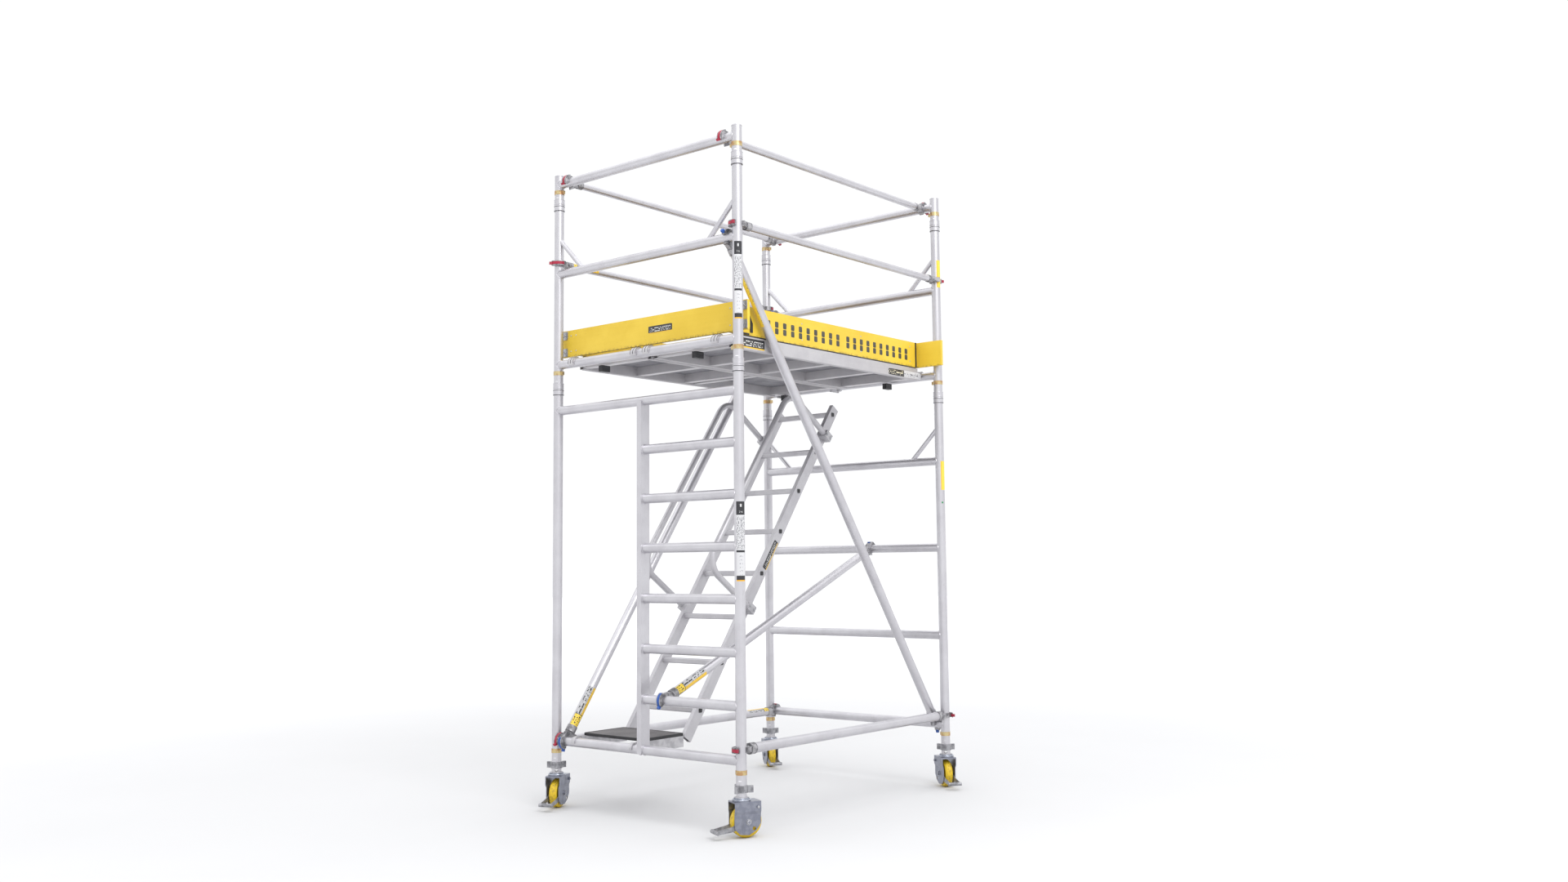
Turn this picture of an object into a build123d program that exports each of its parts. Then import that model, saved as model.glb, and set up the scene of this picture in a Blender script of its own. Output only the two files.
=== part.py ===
from build123d import *

import math
import os

# Mobile tower scaffold with an internal stair.
# Origin: middle of the whole box on the ground. +X runs from the ladder end to the plain end,
# +Y from the near side to the far side, +Z up. All lengths are in millimetres.
# The functions below work from the middle of the four posts; save() moves each piece to the origin.

# ---------------------------------------------------------------- driving dimensions
bay_length = 1755.0
frame_width = 1300.0
base_height = 350.0
rung_pitch = 250.0

post_radius = 25.4
post_bore = 23.0
tube_radius = 24.0
tube_bore = 22.0
brace_radius = 24.15
guard_radius = 19.0
brace_wall = 2.0
gusset_radius = 12.7

half_bay = bay_length / 2
half_width = frame_width / 2
platform_height = base_height + 8 * rung_pitch
guard_height = base_height + 10 * rung_pitch
top_height = base_height + 12 * rung_pitch
post_foot = base_height - 112
lower_joint = base_height + 1870
upper_joint = base_height + 2885
post_top = base_height + 3050

collar_radius = 28.4
collar_half_height = 31.0
clip_height = 22.0
clip_thickness = 1.8

mid_post_depth = 60.0
mid_post_thickness = 30.0
mid_post_wall = 2.5

level_claw_rise = 50.0
guard_claw_rise = 60.0
diagonal_inset = 62.0
far_diagonal_inset = 68.0
far_level_inset = 40.0
top_rail_inset = 80.0
inner_diagonal_y = -145.0

claw_wall = 13.0
claw_gap = 0.4
claw_thickness = 26.0
claw_reach = 40.0
socket_length = 34.0
trigger_gap = 0.6
trigger_wall = 5.5
trigger_width = 15.0
trigger_span = (92, 205)
crowded_trigger_span = (125, 262)

deck_outer = 556.0
deck_gap = 8.0
deck_half_length = 807.5
deck_top = platform_height + 40
beam_height = 65.0
beam_width = 28.0
board_thickness = 12.0
hook_wall = 7.0
hook_width = 38.0
hatch_start = 110.0
hatch_end = 752.0
hatch_gap = 4.0
hatch_hinge_inset = 110.0
hinge_y = deck_outer - beam_width - 2
hinge_z = deck_top + 6
hinge_radius = 5.0
hinge_pin = 2.4
hinge_half = 40.0
knuckle_half = 20.0
strap_thickness = 2.5

toe_height = 145.0
toe_thickness = 18.0
toe_bottom = deck_top + 8
toe_half_length = 672.0
toe_end_offset = 62.0

stair_near = 57.0
stair_width = 448.0
stringer_thickness = 25.0
stringer_depth = 62.0
stringer_wall = 2.0
tread_count = 8
tread_rise = 238.6
tread_run = 170.0
first_tread_x = -400.5
first_tread_z = base_height + 148
tread_size = 28.0
handrail_radius = 17.0
handrail_offset = 420.0
handrail_bend = 110.0
handrail_low_x = -26.0
handrail_high_x = 690.0

caster_hole = 8.5
wheel_radius = 75.0
wheel_width = 42.0
axle_radius = 6.0
wheel_trail = 20.0
fork_top = 168.0
leg_radius = 22.7
leg_bore = 19.2
nut_bottom = 206.0
nut_top = post_foot - 0.5
leg_top = base_height + 250
ear_reach = 56.0

posts_middle_x = 31.4
posts_middle_y = 23.2

os.makedirs("parts", exist_ok=True)


def save(part, label):
    """Move a finished piece to the common origin, label it and write it as its own file."""
    placed = part.moved(Location((posts_middle_x, posts_middle_y, 0)))
    placed.label = label
    export_step(placed, f"parts/{label}.step")


def corners():
    """The four post axes with their letter, in the order A, B, C, D."""
    return {
        "a": (-half_bay, half_width),
        "b": (-half_bay, -half_width),
        "c": (half_bay, -half_width),
        "d": (half_bay, half_width),
    }


def add_tube(start, end, radius, bore=0.0, mode=Mode.ADD):
    """Add a round tube, or a round bar where the bore is zero, to the part being built."""
    path = Vector(*end) - Vector(*start)
    with BuildSketch(Plane(origin=start, z_dir=path)) as ring:
        Circle(radius)
        if bore > 0:
            Circle(bore, mode=Mode.SUBTRACT)
    extrude(ring.sketch, amount=path.length, mode=mode)


def add_box(low, high, mode=Mode.ADD):
    """Add a box between two opposite corners to the part being built."""
    size = [b - a for a, b in zip(low, high)]
    with BuildSketch(Plane(origin=((low[0] + high[0]) / 2, (low[1] + high[1]) / 2, low[2]))) as base:
        Rectangle(size[0], size[1])
    extrude(base.sketch, amount=size[2], mode=mode)


# ---------------------------------------------------------------- end frames
def posts(end_x, bottom, top):
    """Two hollow posts of one end frame."""
    with BuildPart() as pair:
        for y in (-half_width, half_width):
            add_tube((end_x, y, bottom), (end_x, y, top), post_radius, post_bore)
    return pair.part.solids()


def collars(end_x, height):
    """Two joint collars with a groove round the middle and a small pin hole."""
    with BuildPart() as pair:
        for y in (-half_width, half_width):
            add_tube(
                (end_x, y, height - collar_half_height),
                (end_x, y, height + collar_half_height),
                collar_radius,
                post_radius,
            )
            add_tube((end_x, y, height - 2), (end_x, y, height + 2), collar_radius + 1, 27.2, Mode.SUBTRACT)
            pin_end = (end_x - math.copysign(28, end_x), y - 28, height - 15)
            add_tube((end_x, y, height - 15), pin_end, 3.5, mode=Mode.SUBTRACT)
    return pair.part.solids()


def cross_tubes(end_x, heights, y_low=-half_width, y_high=half_width):
    """Horizontal tubes of an end frame, coped to the posts at both ends."""
    with BuildPart() as tubes:
        for z in heights:
            add_tube((end_x, y_low, z), (end_x, y_high, z), tube_radius, tube_bore)
        for y in (-half_width, half_width):
            add_tube((end_x, y, 0), (end_x, y, post_top + 10), post_radius, mode=Mode.SUBTRACT)
    return tubes.part.solids()


def gussets(end_x, height):
    """Corner gussets from each post down to the cross tube at this height."""
    rise = 200.0
    with BuildPart() as pair:
        for side in (-1, 1):
            y = side * half_width
            add_tube((end_x, y, height + rise), (end_x, y - side * rise, height), gusset_radius, 10.7)
            add_tube((end_x, y, height - 50), (end_x, y, height + rise + 50), post_radius, mode=Mode.SUBTRACT)
        add_tube((end_x, -half_width, height), (end_x, half_width, height), tube_radius, mode=Mode.SUBTRACT)
    return pair.part.solids().filter_by(lambda s: s.volume > 500)


def mid_post():
    """The rectangular post that the ladder rungs end on."""
    foot = base_height - 18
    head = base_height + 7 * rung_pitch
    with BuildPart() as post:
        with BuildSketch(Plane(origin=(-half_bay, 0, foot))):
            Rectangle(mid_post_depth, mid_post_thickness)
            Rectangle(
                mid_post_depth - 2 * mid_post_wall, mid_post_thickness - 2 * mid_post_wall, mode=Mode.SUBTRACT
            )
        extrude(amount=head - foot)
        add_tube((-half_bay, -60, head), (-half_bay, 60, head), tube_radius, mode=Mode.SUBTRACT)
    return post.part.solids()


def ladder_tubes():
    """Bottom tube halves, six rungs and the full-width top tube of the ladder frame."""
    face = mid_post_thickness / 2
    rungs = cross_tubes(-half_bay, [base_height + i * rung_pitch for i in range(7)], y_high=-face)
    bottom = cross_tubes(-half_bay, [base_height], y_low=face)
    top = cross_tubes(-half_bay, [base_height + 7 * rung_pitch])
    return rungs + bottom + top


def end_frames():
    """Base, upper and top frames at both ends; each straight tube is its own solid."""
    ladder = posts(-half_bay, post_foot, lower_joint) + collars(-half_bay, lower_joint)
    save(Compound(ladder + mid_post() + ladder_tubes()), "base_frame_ladder")

    levels = [base_height + i * 2 * rung_pitch for i in range(4)]
    plain = posts(half_bay, post_foot, lower_joint) + collars(half_bay, lower_joint)
    save(Compound(plain + cross_tubes(half_bay, levels) + gussets(half_bay, levels[-1])), "base_frame_plain")

    for end_x, name in ((-half_bay, "upper_frame_ladder_end"), (half_bay, "upper_frame_plain_end")):
        upper = posts(end_x, lower_joint, upper_joint) + collars(end_x, upper_joint)
        upper += cross_tubes(end_x, [platform_height, guard_height]) + gussets(end_x, guard_height)
        save(Compound(upper), name)

    top = []
    for end_x in (-half_bay, half_bay):
        top += posts(end_x, upper_joint, post_top) + cross_tubes(end_x, [top_height])
    save(Compound(top), "top_rail_frames")


def interlock_clips():
    """Spring bands with a squared thumb tab, one at each leg and each post joint."""
    with BuildPart() as clips:
        for x, y in corners().values():
            inward = -math.copysign(1, y)
            for z, tab in ((base_height - 53, 5.0), (platform_height - 45, 13.0), (top_height - 45, 13.0)):
                low = z - clip_height / 2
                add_tube((x, y, low), (x, y, low + clip_height), post_radius + clip_thickness, post_radius)
                near = y + inward * (post_radius + 1)
                far = near + inward * tab
                add_box((x - 7, min(near, far), low + 2), (x + 7, max(near, far), low + clip_height - 2))
    save(clips.part, "interlock_clips")


# ---------------------------------------------------------------- braces
class Brace:
    """A brace tube between two gripped tubes, with a claw and a trigger at each end."""

    def __init__(self, name, start, end, gripped_along, radius, grip_radius, opening_sign):
        self.name = name
        self.start = Vector(*start)
        self.end = Vector(*end)
        self.gripped_along = Vector(*gripped_along)
        self.radius = radius
        self.grip_radius = grip_radius
        self.opening_sign = opening_sign

    def add_bar(self):
        """The tube, from inside one claw socket to inside the other."""
        along = (self.end - self.start).normalized()
        stand_off = self.grip_radius + claw_reach - 4
        add_tube(
            tuple(self.start + along * stand_off),
            tuple(self.end - along * stand_off),
            self.radius,
            self.radius - brace_wall,
        )

    def claw_planes(self):
        """A plane at each gripped tube: x towards the brace, z along the gripped tube."""
        along = (self.end - self.start).normalized()
        normal = self.gripped_along * self.opening_sign
        return {
            "near": Plane(origin=self.start, x_dir=along, z_dir=normal),
            "far": Plane(origin=self.end, x_dir=along * -1, z_dir=normal * -1),
        }

    def add_claw(self, plane):
        """One cast jaw: a ring open on its lower side, a neck and a socket on the brace tube."""
        inner = self.grip_radius + claw_gap
        outer = inner + claw_wall
        with BuildSketch(plane.offset(-claw_thickness / 2)) as jaw:
            Circle(outer)
            with BuildLine():
                Polyline(
                    (0, outer),
                    (self.grip_radius + claw_reach - 5, self.radius * 0.8),
                    (self.grip_radius + claw_reach - 5, -self.radius * 0.8),
                    (outer * 0.6, -outer * 0.8),
                    (0, 0),
                    close=True,
                )
            make_face()
            Circle(inner, mode=Mode.SUBTRACT)
            with BuildLine():
                Polyline(
                    (0, 0), (-outer * 1.5, -outer * 0.75), (-outer * 0.5, -outer * 2), (outer * 0.7, -outer * 2),
                    close=True,
                )
            make_face(mode=Mode.SUBTRACT)
        extrude(jaw.sketch, amount=claw_thickness)
        stand_off = self.grip_radius + claw_reach - 10
        base = plane.origin + plane.x_dir * stand_off
        cap = base + plane.x_dir * 6
        add_tube(tuple(base), tuple(cap), self.radius + 3)
        add_tube(tuple(cap), tuple(base + plane.x_dir * socket_length), self.radius + 3, self.radius)

    def trigger(self, plane, first, last):
        """The coloured latch band on the rim of a claw, between two angles, with a finger lever at its end."""
        inner = self.grip_radius + claw_gap + claw_wall + trigger_gap
        outer = inner + trigger_wall
        first = math.radians(first)
        last = math.radians(last)
        middle = (first + last) / 2
        with BuildPart() as latch:
            with BuildSketch(plane.offset(-trigger_width / 2)):
                with BuildLine():
                    ThreePointArc(*[(outer * math.cos(t), outer * math.sin(t)) for t in (first, middle, last)])
                    ThreePointArc(*[(inner * math.cos(t), inner * math.sin(t)) for t in (first, middle, last)])
                    for t in (first, last):
                        Line(
                            (inner * math.cos(t), inner * math.sin(t)), (outer * math.cos(t), outer * math.sin(t))
                        )
                make_face()
                lever = outer + 4
                with Locations((lever * math.cos(last - 0.12), lever * math.sin(last - 0.12))):
                    Rectangle(12, 15, rotation=math.degrees(last) - 90)
            extrude(amount=trigger_width)
        return latch.part


def braces():
    """Every brace of the tower: two bottom levels, four guard rails and three diagonals."""
    side = (0, 1, 0)
    upright = (0, 0, 1)
    low = base_height + level_claw_rise
    mid = guard_height + guard_claw_rise
    rail_y = half_width - top_rail_inset
    diagonal_y = half_width - diagonal_inset
    far_y = half_width - far_diagonal_inset
    level_y = half_width - far_level_inset
    inner_low = base_height + rung_pitch
    inner_high = base_height + 4 * rung_pitch
    x = half_bay
    return [
        Brace("level_near", (-x, -half_width, low), (x, -half_width, low), upright, brace_radius, post_radius, 1),
        Brace(
            "level_far", (-x, level_y, base_height), (x, level_y, base_height), side,
            brace_radius, tube_radius, -1,
        ),
        Brace("guard_near", (-x, -half_width, mid), (x, -half_width, mid), upright, guard_radius, post_radius, 1),
        Brace("guard_far", (-x, half_width, mid), (x, half_width, mid), upright, guard_radius, post_radius, -1),
        Brace(
            "rail_near", (-x, -rail_y, top_height), (x, -rail_y, top_height), side,
            guard_radius, tube_radius, -1,
        ),
        Brace(
            "rail_far", (-x, rail_y, top_height), (x, rail_y, top_height), side,
            guard_radius, tube_radius, -1,
        ),
        Brace(
            "diagonal_near", (-x, -diagonal_y, guard_height), (x, -diagonal_y, base_height), side,
            brace_radius, tube_radius, -1,
        ),
        Brace(
            "diagonal_far", (-x, far_y, base_height), (x, far_y, guard_height), side,
            brace_radius, tube_radius, -1,
        ),
        Brace(
            "diagonal_inner", (-x, inner_diagonal_y, inner_low), (x, inner_diagonal_y, inner_high), side,
            brace_radius, tube_radius, -1,
        ),
    ]


def brace_set():
    """Brace tubes, claw castings and one trigger node per claw."""
    everything = braces()
    level = [b for b in everything if not b.name.startswith("diagonal")]
    diagonal = [b for b in everything if b.name.startswith("diagonal")]
    for group, tube_name, claw_name in (
        (level, "level_brace_tubes", "level_brace_claws"),
        (diagonal, "diagonal_brace_tubes", "diagonal_brace_claws"),
    ):
        with BuildPart() as bars:
            for brace in group:
                brace.add_bar()
        save(bars.part, tube_name)
        with BuildPart() as claws:
            for brace in group:
                for plane in brace.claw_planes().values():
                    brace.add_claw(plane)
        save(claws.part, claw_name)
    for brace in everything:
        for which, plane in brace.claw_planes().items():
            span = crowded_trigger_span if (brace.name, which) == ("level_near", "far") else trigger_span
            save(brace.trigger(plane, *span), f"trigger_{brace.name}_{which}")


# ---------------------------------------------------------------- platform
def deck_sides():
    """Y of the lower and upper edge of the near and the far deck."""
    return {"near": (-deck_outer, -deck_gap), "far": (deck_gap, deck_outer)}


def deck_frames():
    """Hollow side and end beams, flat cross members and the hooks that lie on the platform tubes."""
    bottom = deck_top - beam_height
    solids = []
    for name, (low_y, high_y) in deck_sides().items():
        with BuildPart() as beams:
            for y in (low_y, high_y - beam_width):
                add_box((-deck_half_length, y, bottom), (deck_half_length, y + beam_width, deck_top))
                add_box((-deck_half_length, y + 2, bottom + 2), (deck_half_length, y + beam_width - 2, deck_top - 2),
                        Mode.SUBTRACT)
        members = [-deck_half_length, -405.0, -20.0, hatch_start - 50, deck_half_length - 45]
        if name == "near":
            members = [-deck_half_length, -405.0, 0.0, 405.0, deck_half_length - 45]
        with BuildPart() as cross:
            for x in members:
                add_box(
                    (x, low_y + beam_width, bottom + 6),
                    (x + 45, high_y - beam_width, deck_top - board_thickness),
                )
        with BuildPart() as hooks:
            for end in (-1, 1):
                for y in (low_y + 36, high_y - 36):
                    add_hook(end, y)
        solids += beams.part.solids() + cross.part.solids() + hooks.part.solids()
    save(Compound(solids + hinge_fixed_halves()), "deck_frames")


def hinge_places():
    """X of the middle of each trapdoor hinge."""
    return (hatch_start + hatch_hinge_inset, hatch_end - hatch_hinge_inset)


def hinge_fixed_halves():
    """Pins, outer knuckles and straps of the trapdoor hinges, on top of the far side beam."""
    with BuildPart() as halves:
        for x in hinge_places():
            add_tube((x - hinge_half, hinge_y, hinge_z), (x + hinge_half, hinge_y, hinge_z), hinge_pin)
            for side in (-1, 1):
                low, high = sorted((x + side * (knuckle_half + 0.5), x + side * hinge_half))
                add_tube((low, hinge_y, hinge_z), (high, hinge_y, hinge_z), hinge_radius)
                add_box((low, hinge_y, deck_top), (high, hinge_y + 22, deck_top + strap_thickness))
    return halves.part.solids()


def add_hook(end, y):
    """A half-round hook over the platform tube with a tang back to the deck's end."""
    x = end * half_bay
    inner = tube_radius + 0.3
    outer = inner + hook_wall
    with BuildSketch(Plane(origin=(x, y - hook_width / 2, platform_height), z_dir=(0, 1, 0))) as cap:
        Circle(outer)
        Circle(inner, mode=Mode.SUBTRACT)
    extrude(cap.sketch, amount=hook_width)
    reach = half_bay - deck_half_length
    low_x, high_x = sorted((x - end * inner, x - end * reach))
    add_box((low_x, y - hook_width / 2, platform_height - 14), (high_x, y + hook_width / 2, platform_height + 26))
    add_tube((x, y - 30, platform_height), (x, y + 30, platform_height), inner, mode=Mode.SUBTRACT)
    add_box((x - 45, y - 30, platform_height - 60), (x + 45, y + 30, platform_height - 14), Mode.SUBTRACT)


def deck_boards():
    """Plywood boards; the far one is cut out for the trapdoor."""
    inset = beam_width
    with BuildPart() as boards:
        for name, (low_y, high_y) in deck_sides().items():
            add_box(
                (-deck_half_length, low_y + inset, deck_top - board_thickness),
                (deck_half_length, high_y - inset, deck_top),
            )
        add_box(
            (hatch_start, deck_gap + beam_width, deck_top - 20),
            (hatch_end, deck_outer - beam_width, deck_top + 5),
            Mode.SUBTRACT,
        )
    save(boards.part, "deck_boards")


def hatch():
    """Trapdoor leaf in the far deck with its hinge knuckles along the outer side beam and a hand hole."""
    with BuildPart() as leaf:
        add_box(
            (hatch_start + hatch_gap, deck_gap + beam_width + hatch_gap, deck_top - board_thickness),
            (hatch_end - hatch_gap, deck_outer - beam_width - hatch_gap, deck_top),
        )
        middle = (hatch_start + hatch_end) / 2
        add_box(
            (middle - 60, deck_gap + beam_width + 30, deck_top - 15),
            (middle + 60, deck_gap + beam_width + 60, deck_top + 5),
            Mode.SUBTRACT,
        )
        for x in hinge_places():
            low, high = x - knuckle_half, x + knuckle_half
            add_tube((low, hinge_y, hinge_z), (high, hinge_y, hinge_z), hinge_radius)
            add_box((low, hinge_y - 26, deck_top), (high, hinge_y, deck_top + strap_thickness))
            add_tube((low, hinge_y, hinge_z), (high, hinge_y, hinge_z), hinge_pin + 0.1, mode=Mode.SUBTRACT)
    save(leaf.part, "hatch")


def wind_latches():
    """Black latches under both ends of each deck that stop it lifting off its tubes."""
    spots = {"near": ((-1, -330.0), (1, -330.0)), "far": ((-1, 350.0), (1, 452.0))}
    for name, places in spots.items():
        with BuildPart() as latches:
            for end, y in places:
                tip = end * (half_bay - tube_radius - 6)
                back = end * (half_bay - tube_radius - 62)
                low_x, high_x = sorted((tip, back))
                z = deck_top - beam_height
                add_box((low_x, y - 14, z - 34), (high_x, y + 14, z - 1))
        save(latches.part, f"wind_latches_{name}")


def toe_boards():
    """Four upright boards round the platform; the end boards run past the side boards."""
    x = half_bay - toe_end_offset
    side_y = deck_outer - 24
    with BuildPart() as boards:
        top = toe_bottom + toe_height
        for end, shift in ((-1, 0.0), (1, -43.0)):
            low_x, high_x = sorted((end * x, end * (x + toe_thickness)))
            add_box((low_x, -toe_half_length + shift, toe_bottom), (high_x, toe_half_length + shift, top))
        for side in (-1, 1):
            low_y, high_y = sorted((side * side_y, side * (side_y + toe_thickness)))
            add_box((-x + 1, low_y, toe_bottom), (x - 1, high_y, top))
    save(boards.part, "toe_boards")


def toe_brackets():
    """Folded corner plates, two at each end of the end boards, with a rivet boss."""
    x = half_bay - toe_end_offset + toe_thickness
    with BuildPart() as plates:
        for end, shift in ((-1, 0.0), (1, -43.0)):
            for side in (-1, 1):
                for rise in (12, 96):
                    near = side * (toe_half_length - 2) + shift
                    far = near - side * 42
                    low_x, high_x = sorted((end * x, end * (x + 2.5)))
                    low_z = toe_bottom + rise
                    add_box((low_x, min(near, far), low_z), (high_x, max(near, far), low_z + 36))
                    add_tube(
                        (end * x, near - side * 12, low_z + 18), (end * (x + 5), near - side * 12, low_z + 18), 5
                    )
    save(plates.part, "toe_brackets")


def toe_clips():
    """Black bent clips and the strip that joins the near board to the plain-end board."""
    y = deck_outer - 24 + toe_thickness
    x = half_bay - toe_end_offset
    with BuildPart() as clips:
        for side in (-1, 1):
            low_y, high_y = sorted((side * y, side * (y + 3)))
            add_box((x - 22, low_y, toe_bottom), (x - 10, high_y, toe_bottom + toe_height))
            with BuildSketch(Plane(origin=(0, side * y, 0), x_dir=(1, 0, 0), z_dir=(0, side, 0))):
                with BuildLine():
                    Polyline(
                        *[
                            (px, -side * pz)
                            for px, pz in (
                                (-x + 108, toe_bottom + 118),
                                (-x + 126, toe_bottom + 118),
                                (-x + 158, toe_bottom + 62),
                                (-x + 158, toe_bottom + 16),
                                (-x + 140, toe_bottom + 16),
                                (-x + 138, toe_bottom + 60),
                            )
                        ],
                        close=True,
                    )
                make_face()
            extrude(amount=5)
            add_box((-x + 20, min(side * y, side * (y + 5)), toe_bottom + 2),
                    (-x + 130, max(side * y, side * (y + 5)), toe_bottom + 10))
    save(clips.part, "toe_clips")


# ---------------------------------------------------------------- stair
slope = math.atan2(tread_rise, tread_run)
along_x = math.cos(slope)
along_z = math.sin(slope)


def stringer_z(x):
    """Height of the stringer's centre line above a point along the tower."""
    return first_tread_z + (x - first_tread_x) * tread_rise / tread_run


def stringer_sides():
    """Y of the outer face and the inner face of the near and far stringer."""
    return (
        (stair_near, stair_near + stringer_thickness),
        (stair_near + stair_width - stringer_thickness, stair_near + stair_width),
    )


def stair():
    """Two box stringers, eight square treads between them and the foot plate."""
    foot_x = first_tread_x - 100
    head_x = half_bay - tube_radius - 34
    solids = []
    for low_y, high_y in stringer_sides():
        origin = (foot_x, (low_y + high_y) / 2, stringer_z(foot_x))
        length = (head_x - foot_x) / along_x
        with BuildPart() as stringer:
            with BuildSketch(Plane(origin=origin, x_dir=(0, 1, 0), z_dir=(along_x, 0, along_z))):
                Rectangle(stringer_thickness, stringer_depth)
                Rectangle(
                    stringer_thickness - 2 * stringer_wall, stringer_depth - 2 * stringer_wall, mode=Mode.SUBTRACT
                )
            extrude(amount=length)
            add_box((foot_x - 80, low_y - 5, 0), (foot_x + 200, high_y + 5, base_height - 52), Mode.SUBTRACT)
            cut_x = head_x + 30
            add_box(
                (head_x - 150, low_y - 5, platform_height - 28), (cut_x + 80, high_y + 5, deck_top + 80),
                Mode.SUBTRACT,
            )
        solids += stringer.part.solids()
    inner_low = stringer_sides()[0][1]
    inner_high = stringer_sides()[1][0]
    with BuildPart() as treads:
        for i in range(tread_count):
            x = first_tread_x + i * tread_run
            z = first_tread_z + i * tread_rise
            with BuildSketch(Plane(origin=(x, inner_low, z), x_dir=(1, 0, 0), z_dir=(0, 1, 0))):
                RectangleRounded(tread_size + 10, tread_size, 6)
                RectangleRounded(tread_size + 6, tread_size - 4, 4, mode=Mode.SUBTRACT)
            extrude(amount=inner_high - inner_low)
    solids += treads.part.solids() + foot_plate()
    save(Compound(solids), "stair")


def tread_plugs():
    """Black plugs in the tread ends, proud of the outer faces of the stringers."""
    with BuildPart() as plugs:
        for i in range(tread_count):
            x = first_tread_x + i * tread_run
            z = first_tread_z + i * tread_rise
            for face, out in ((stair_near, -1), (stair_near + stair_width, 1)):
                with BuildSketch(Plane(origin=(x, face, z), x_dir=(1, 0, 0), z_dir=(0, out, 0))):
                    RectangleRounded(24, 22, 5)
                extrude(amount=3)
    save(plugs.part, "tread_plugs")


def stair_fittings():
    """Top hooks, horizontal foot arms with hooks on the bottom tube, and handrail clamps."""
    clamp = 46.0
    head_x = half_bay - tube_radius - 34
    with BuildPart() as fittings:
        for low_y, high_y in stringer_sides():
            middle = (low_y + high_y) / 2
            add_foot_hook(middle)
            add_top_hook(middle, head_x)
        for low_y, out in ((stair_near, -1), (stair_near + stair_width, 1)):
            for x in (handrail_low_x, handrail_high_x):
                origin = (x, low_y, stringer_z(x))
                with BuildSketch(Plane(origin=origin, x_dir=(along_x, 0, along_z), z_dir=(0, out, 0))):
                    Rectangle(clamp, clamp + 14)
                extrude(amount=clamp)
        for (low_y, out), x in [
            (side, x)
            for side in ((stair_near, -1), (stair_near + stair_width, 1))
            for x in (handrail_low_x, handrail_high_x)
        ]:
            y = low_y + out * 24
            z = stringer_z(x)
            add_tube(
                (x + 40 * along_z, y, z - 40 * along_x),
                (x - 60 * along_z, y, z + 60 * along_x),
                handrail_radius,
                mode=Mode.SUBTRACT,
            )
    save(fittings.part, "stair_fittings")


def add_foot_hook(y):
    """A foot arm from a stringer to a hook round the bottom tube."""
    inner = tube_radius + 0.3
    x = -half_bay
    arm_end = first_tread_x - 128
    with BuildSketch(Plane(origin=(x, y - 12, base_height), x_dir=(1, 0, 0), z_dir=(0, 1, 0))) as hook:
        Circle(inner + 7)
        Circle(inner, mode=Mode.SUBTRACT)
        with Locations((0, 30)):
            Rectangle(80, 52, mode=Mode.SUBTRACT)
    extrude(hook.sketch, amount=24)
    add_box((x + inner + 3, y - 12, base_height - 28), (arm_end, y + 12, base_height + 30))


def add_top_hook(y, head_x):
    """A thin hook over the platform tube at the head of a stringer."""
    inner = tube_radius + 0.3
    half = 5.5
    x = half_bay
    with BuildSketch(Plane(origin=(x, y - half, platform_height), x_dir=(1, 0, 0), z_dir=(0, 1, 0))) as hook:
        Circle(inner + 6)
        Circle(inner, mode=Mode.SUBTRACT)
    extrude(hook.sketch, amount=2 * half)
    add_box((head_x - 30, y - half, platform_height - 40), (x - inner + 14, y + half, platform_height - 27))


def foot_plate():
    """The first step: a thin plate across the foot arms."""
    low_y = stringer_sides()[0][0] + 2
    high_y = stringer_sides()[1][1] - 2
    top = base_height + 42
    with BuildPart() as plate:
        add_box((-half_bay + 62, low_y, top - 11), (first_tread_x - 130, high_y, top))
    return plate.part.solids()


def handrails():
    """A round rail on each side, bent square to the stringer at both ends."""
    with BuildPart() as rails:
        for face, out in ((stair_near, -1), (stair_near + stair_width, 1)):
            y = face + out * 24
            low = Vector(handrail_low_x, y, stringer_z(handrail_low_x))
            high = Vector(handrail_high_x, y, stringer_z(handrail_high_x))
            away = Vector(-along_z, 0, along_x)
            foot = low - away * 22
            tip = high - away * 22
            with BuildLine() as path:
                FilletPolyline(foot, low + away * handrail_offset, high + away * handrail_offset, tip,
                               radius=handrail_bend)
            with BuildSketch(Plane(origin=foot, z_dir=away)):
                Circle(handrail_radius)
                Circle(handrail_radius - 2, mode=Mode.SUBTRACT)
            sweep(path=path.line)
    save(rails.part, "stair_handrails")


# ---------------------------------------------------------------- legs and casters
fork_yaw = {"a": 205.5, "b": 154.0, "c": 232.8, "d": 233.1}
hole_yaw = {"a": 49.0, "b": 131.0, "c": 33.0, "d": 120.0}
ear_yaw = {"a": 229.0, "b": -48.6, "c": 213.0, "d": 220.0}


def leg(letter, x, y):
    """Threaded leg tube inside the post, its foot sleeve with a through hole and a flange."""
    with BuildPart() as tube:
        add_tube((x, y, 186), (x, y, leg_top), leg_radius, leg_bore)
        add_tube((x, y, 187), (x, y, nut_bottom - 0.5), post_radius, leg_bore)
        add_tube((x, y, 184), (x, y, 187), 33)
        yaw = math.radians(hole_yaw[letter])
        dx, dy = 50 * math.cos(yaw), 50 * math.sin(yaw)
        add_tube((x - dx, y - dy, 196), (x + dx, y + dy, 196), caster_hole, mode=Mode.SUBTRACT)
    save(tube.part, f"leg_{letter}")


def jack_nut(letter, x, y):
    """Collar nut under the post with three ears to turn it by."""
    with BuildPart() as nut:
        with BuildSketch(Plane(origin=(x, y, nut_bottom))):
            Circle(31)
            for i in range(3):
                angle = math.radians(ear_yaw[letter] + 120 * i)
                middle = ear_reach - 16
                with Locations((middle * math.cos(angle), middle * math.sin(angle))):
                    RectangleRounded(32, 15, 5, rotation=math.degrees(angle))
            Circle(leg_radius + 0.3, mode=Mode.SUBTRACT)
        extrude(amount=nut_top - nut_bottom)
    save(nut.part, f"jack_nut_{letter}")


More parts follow.
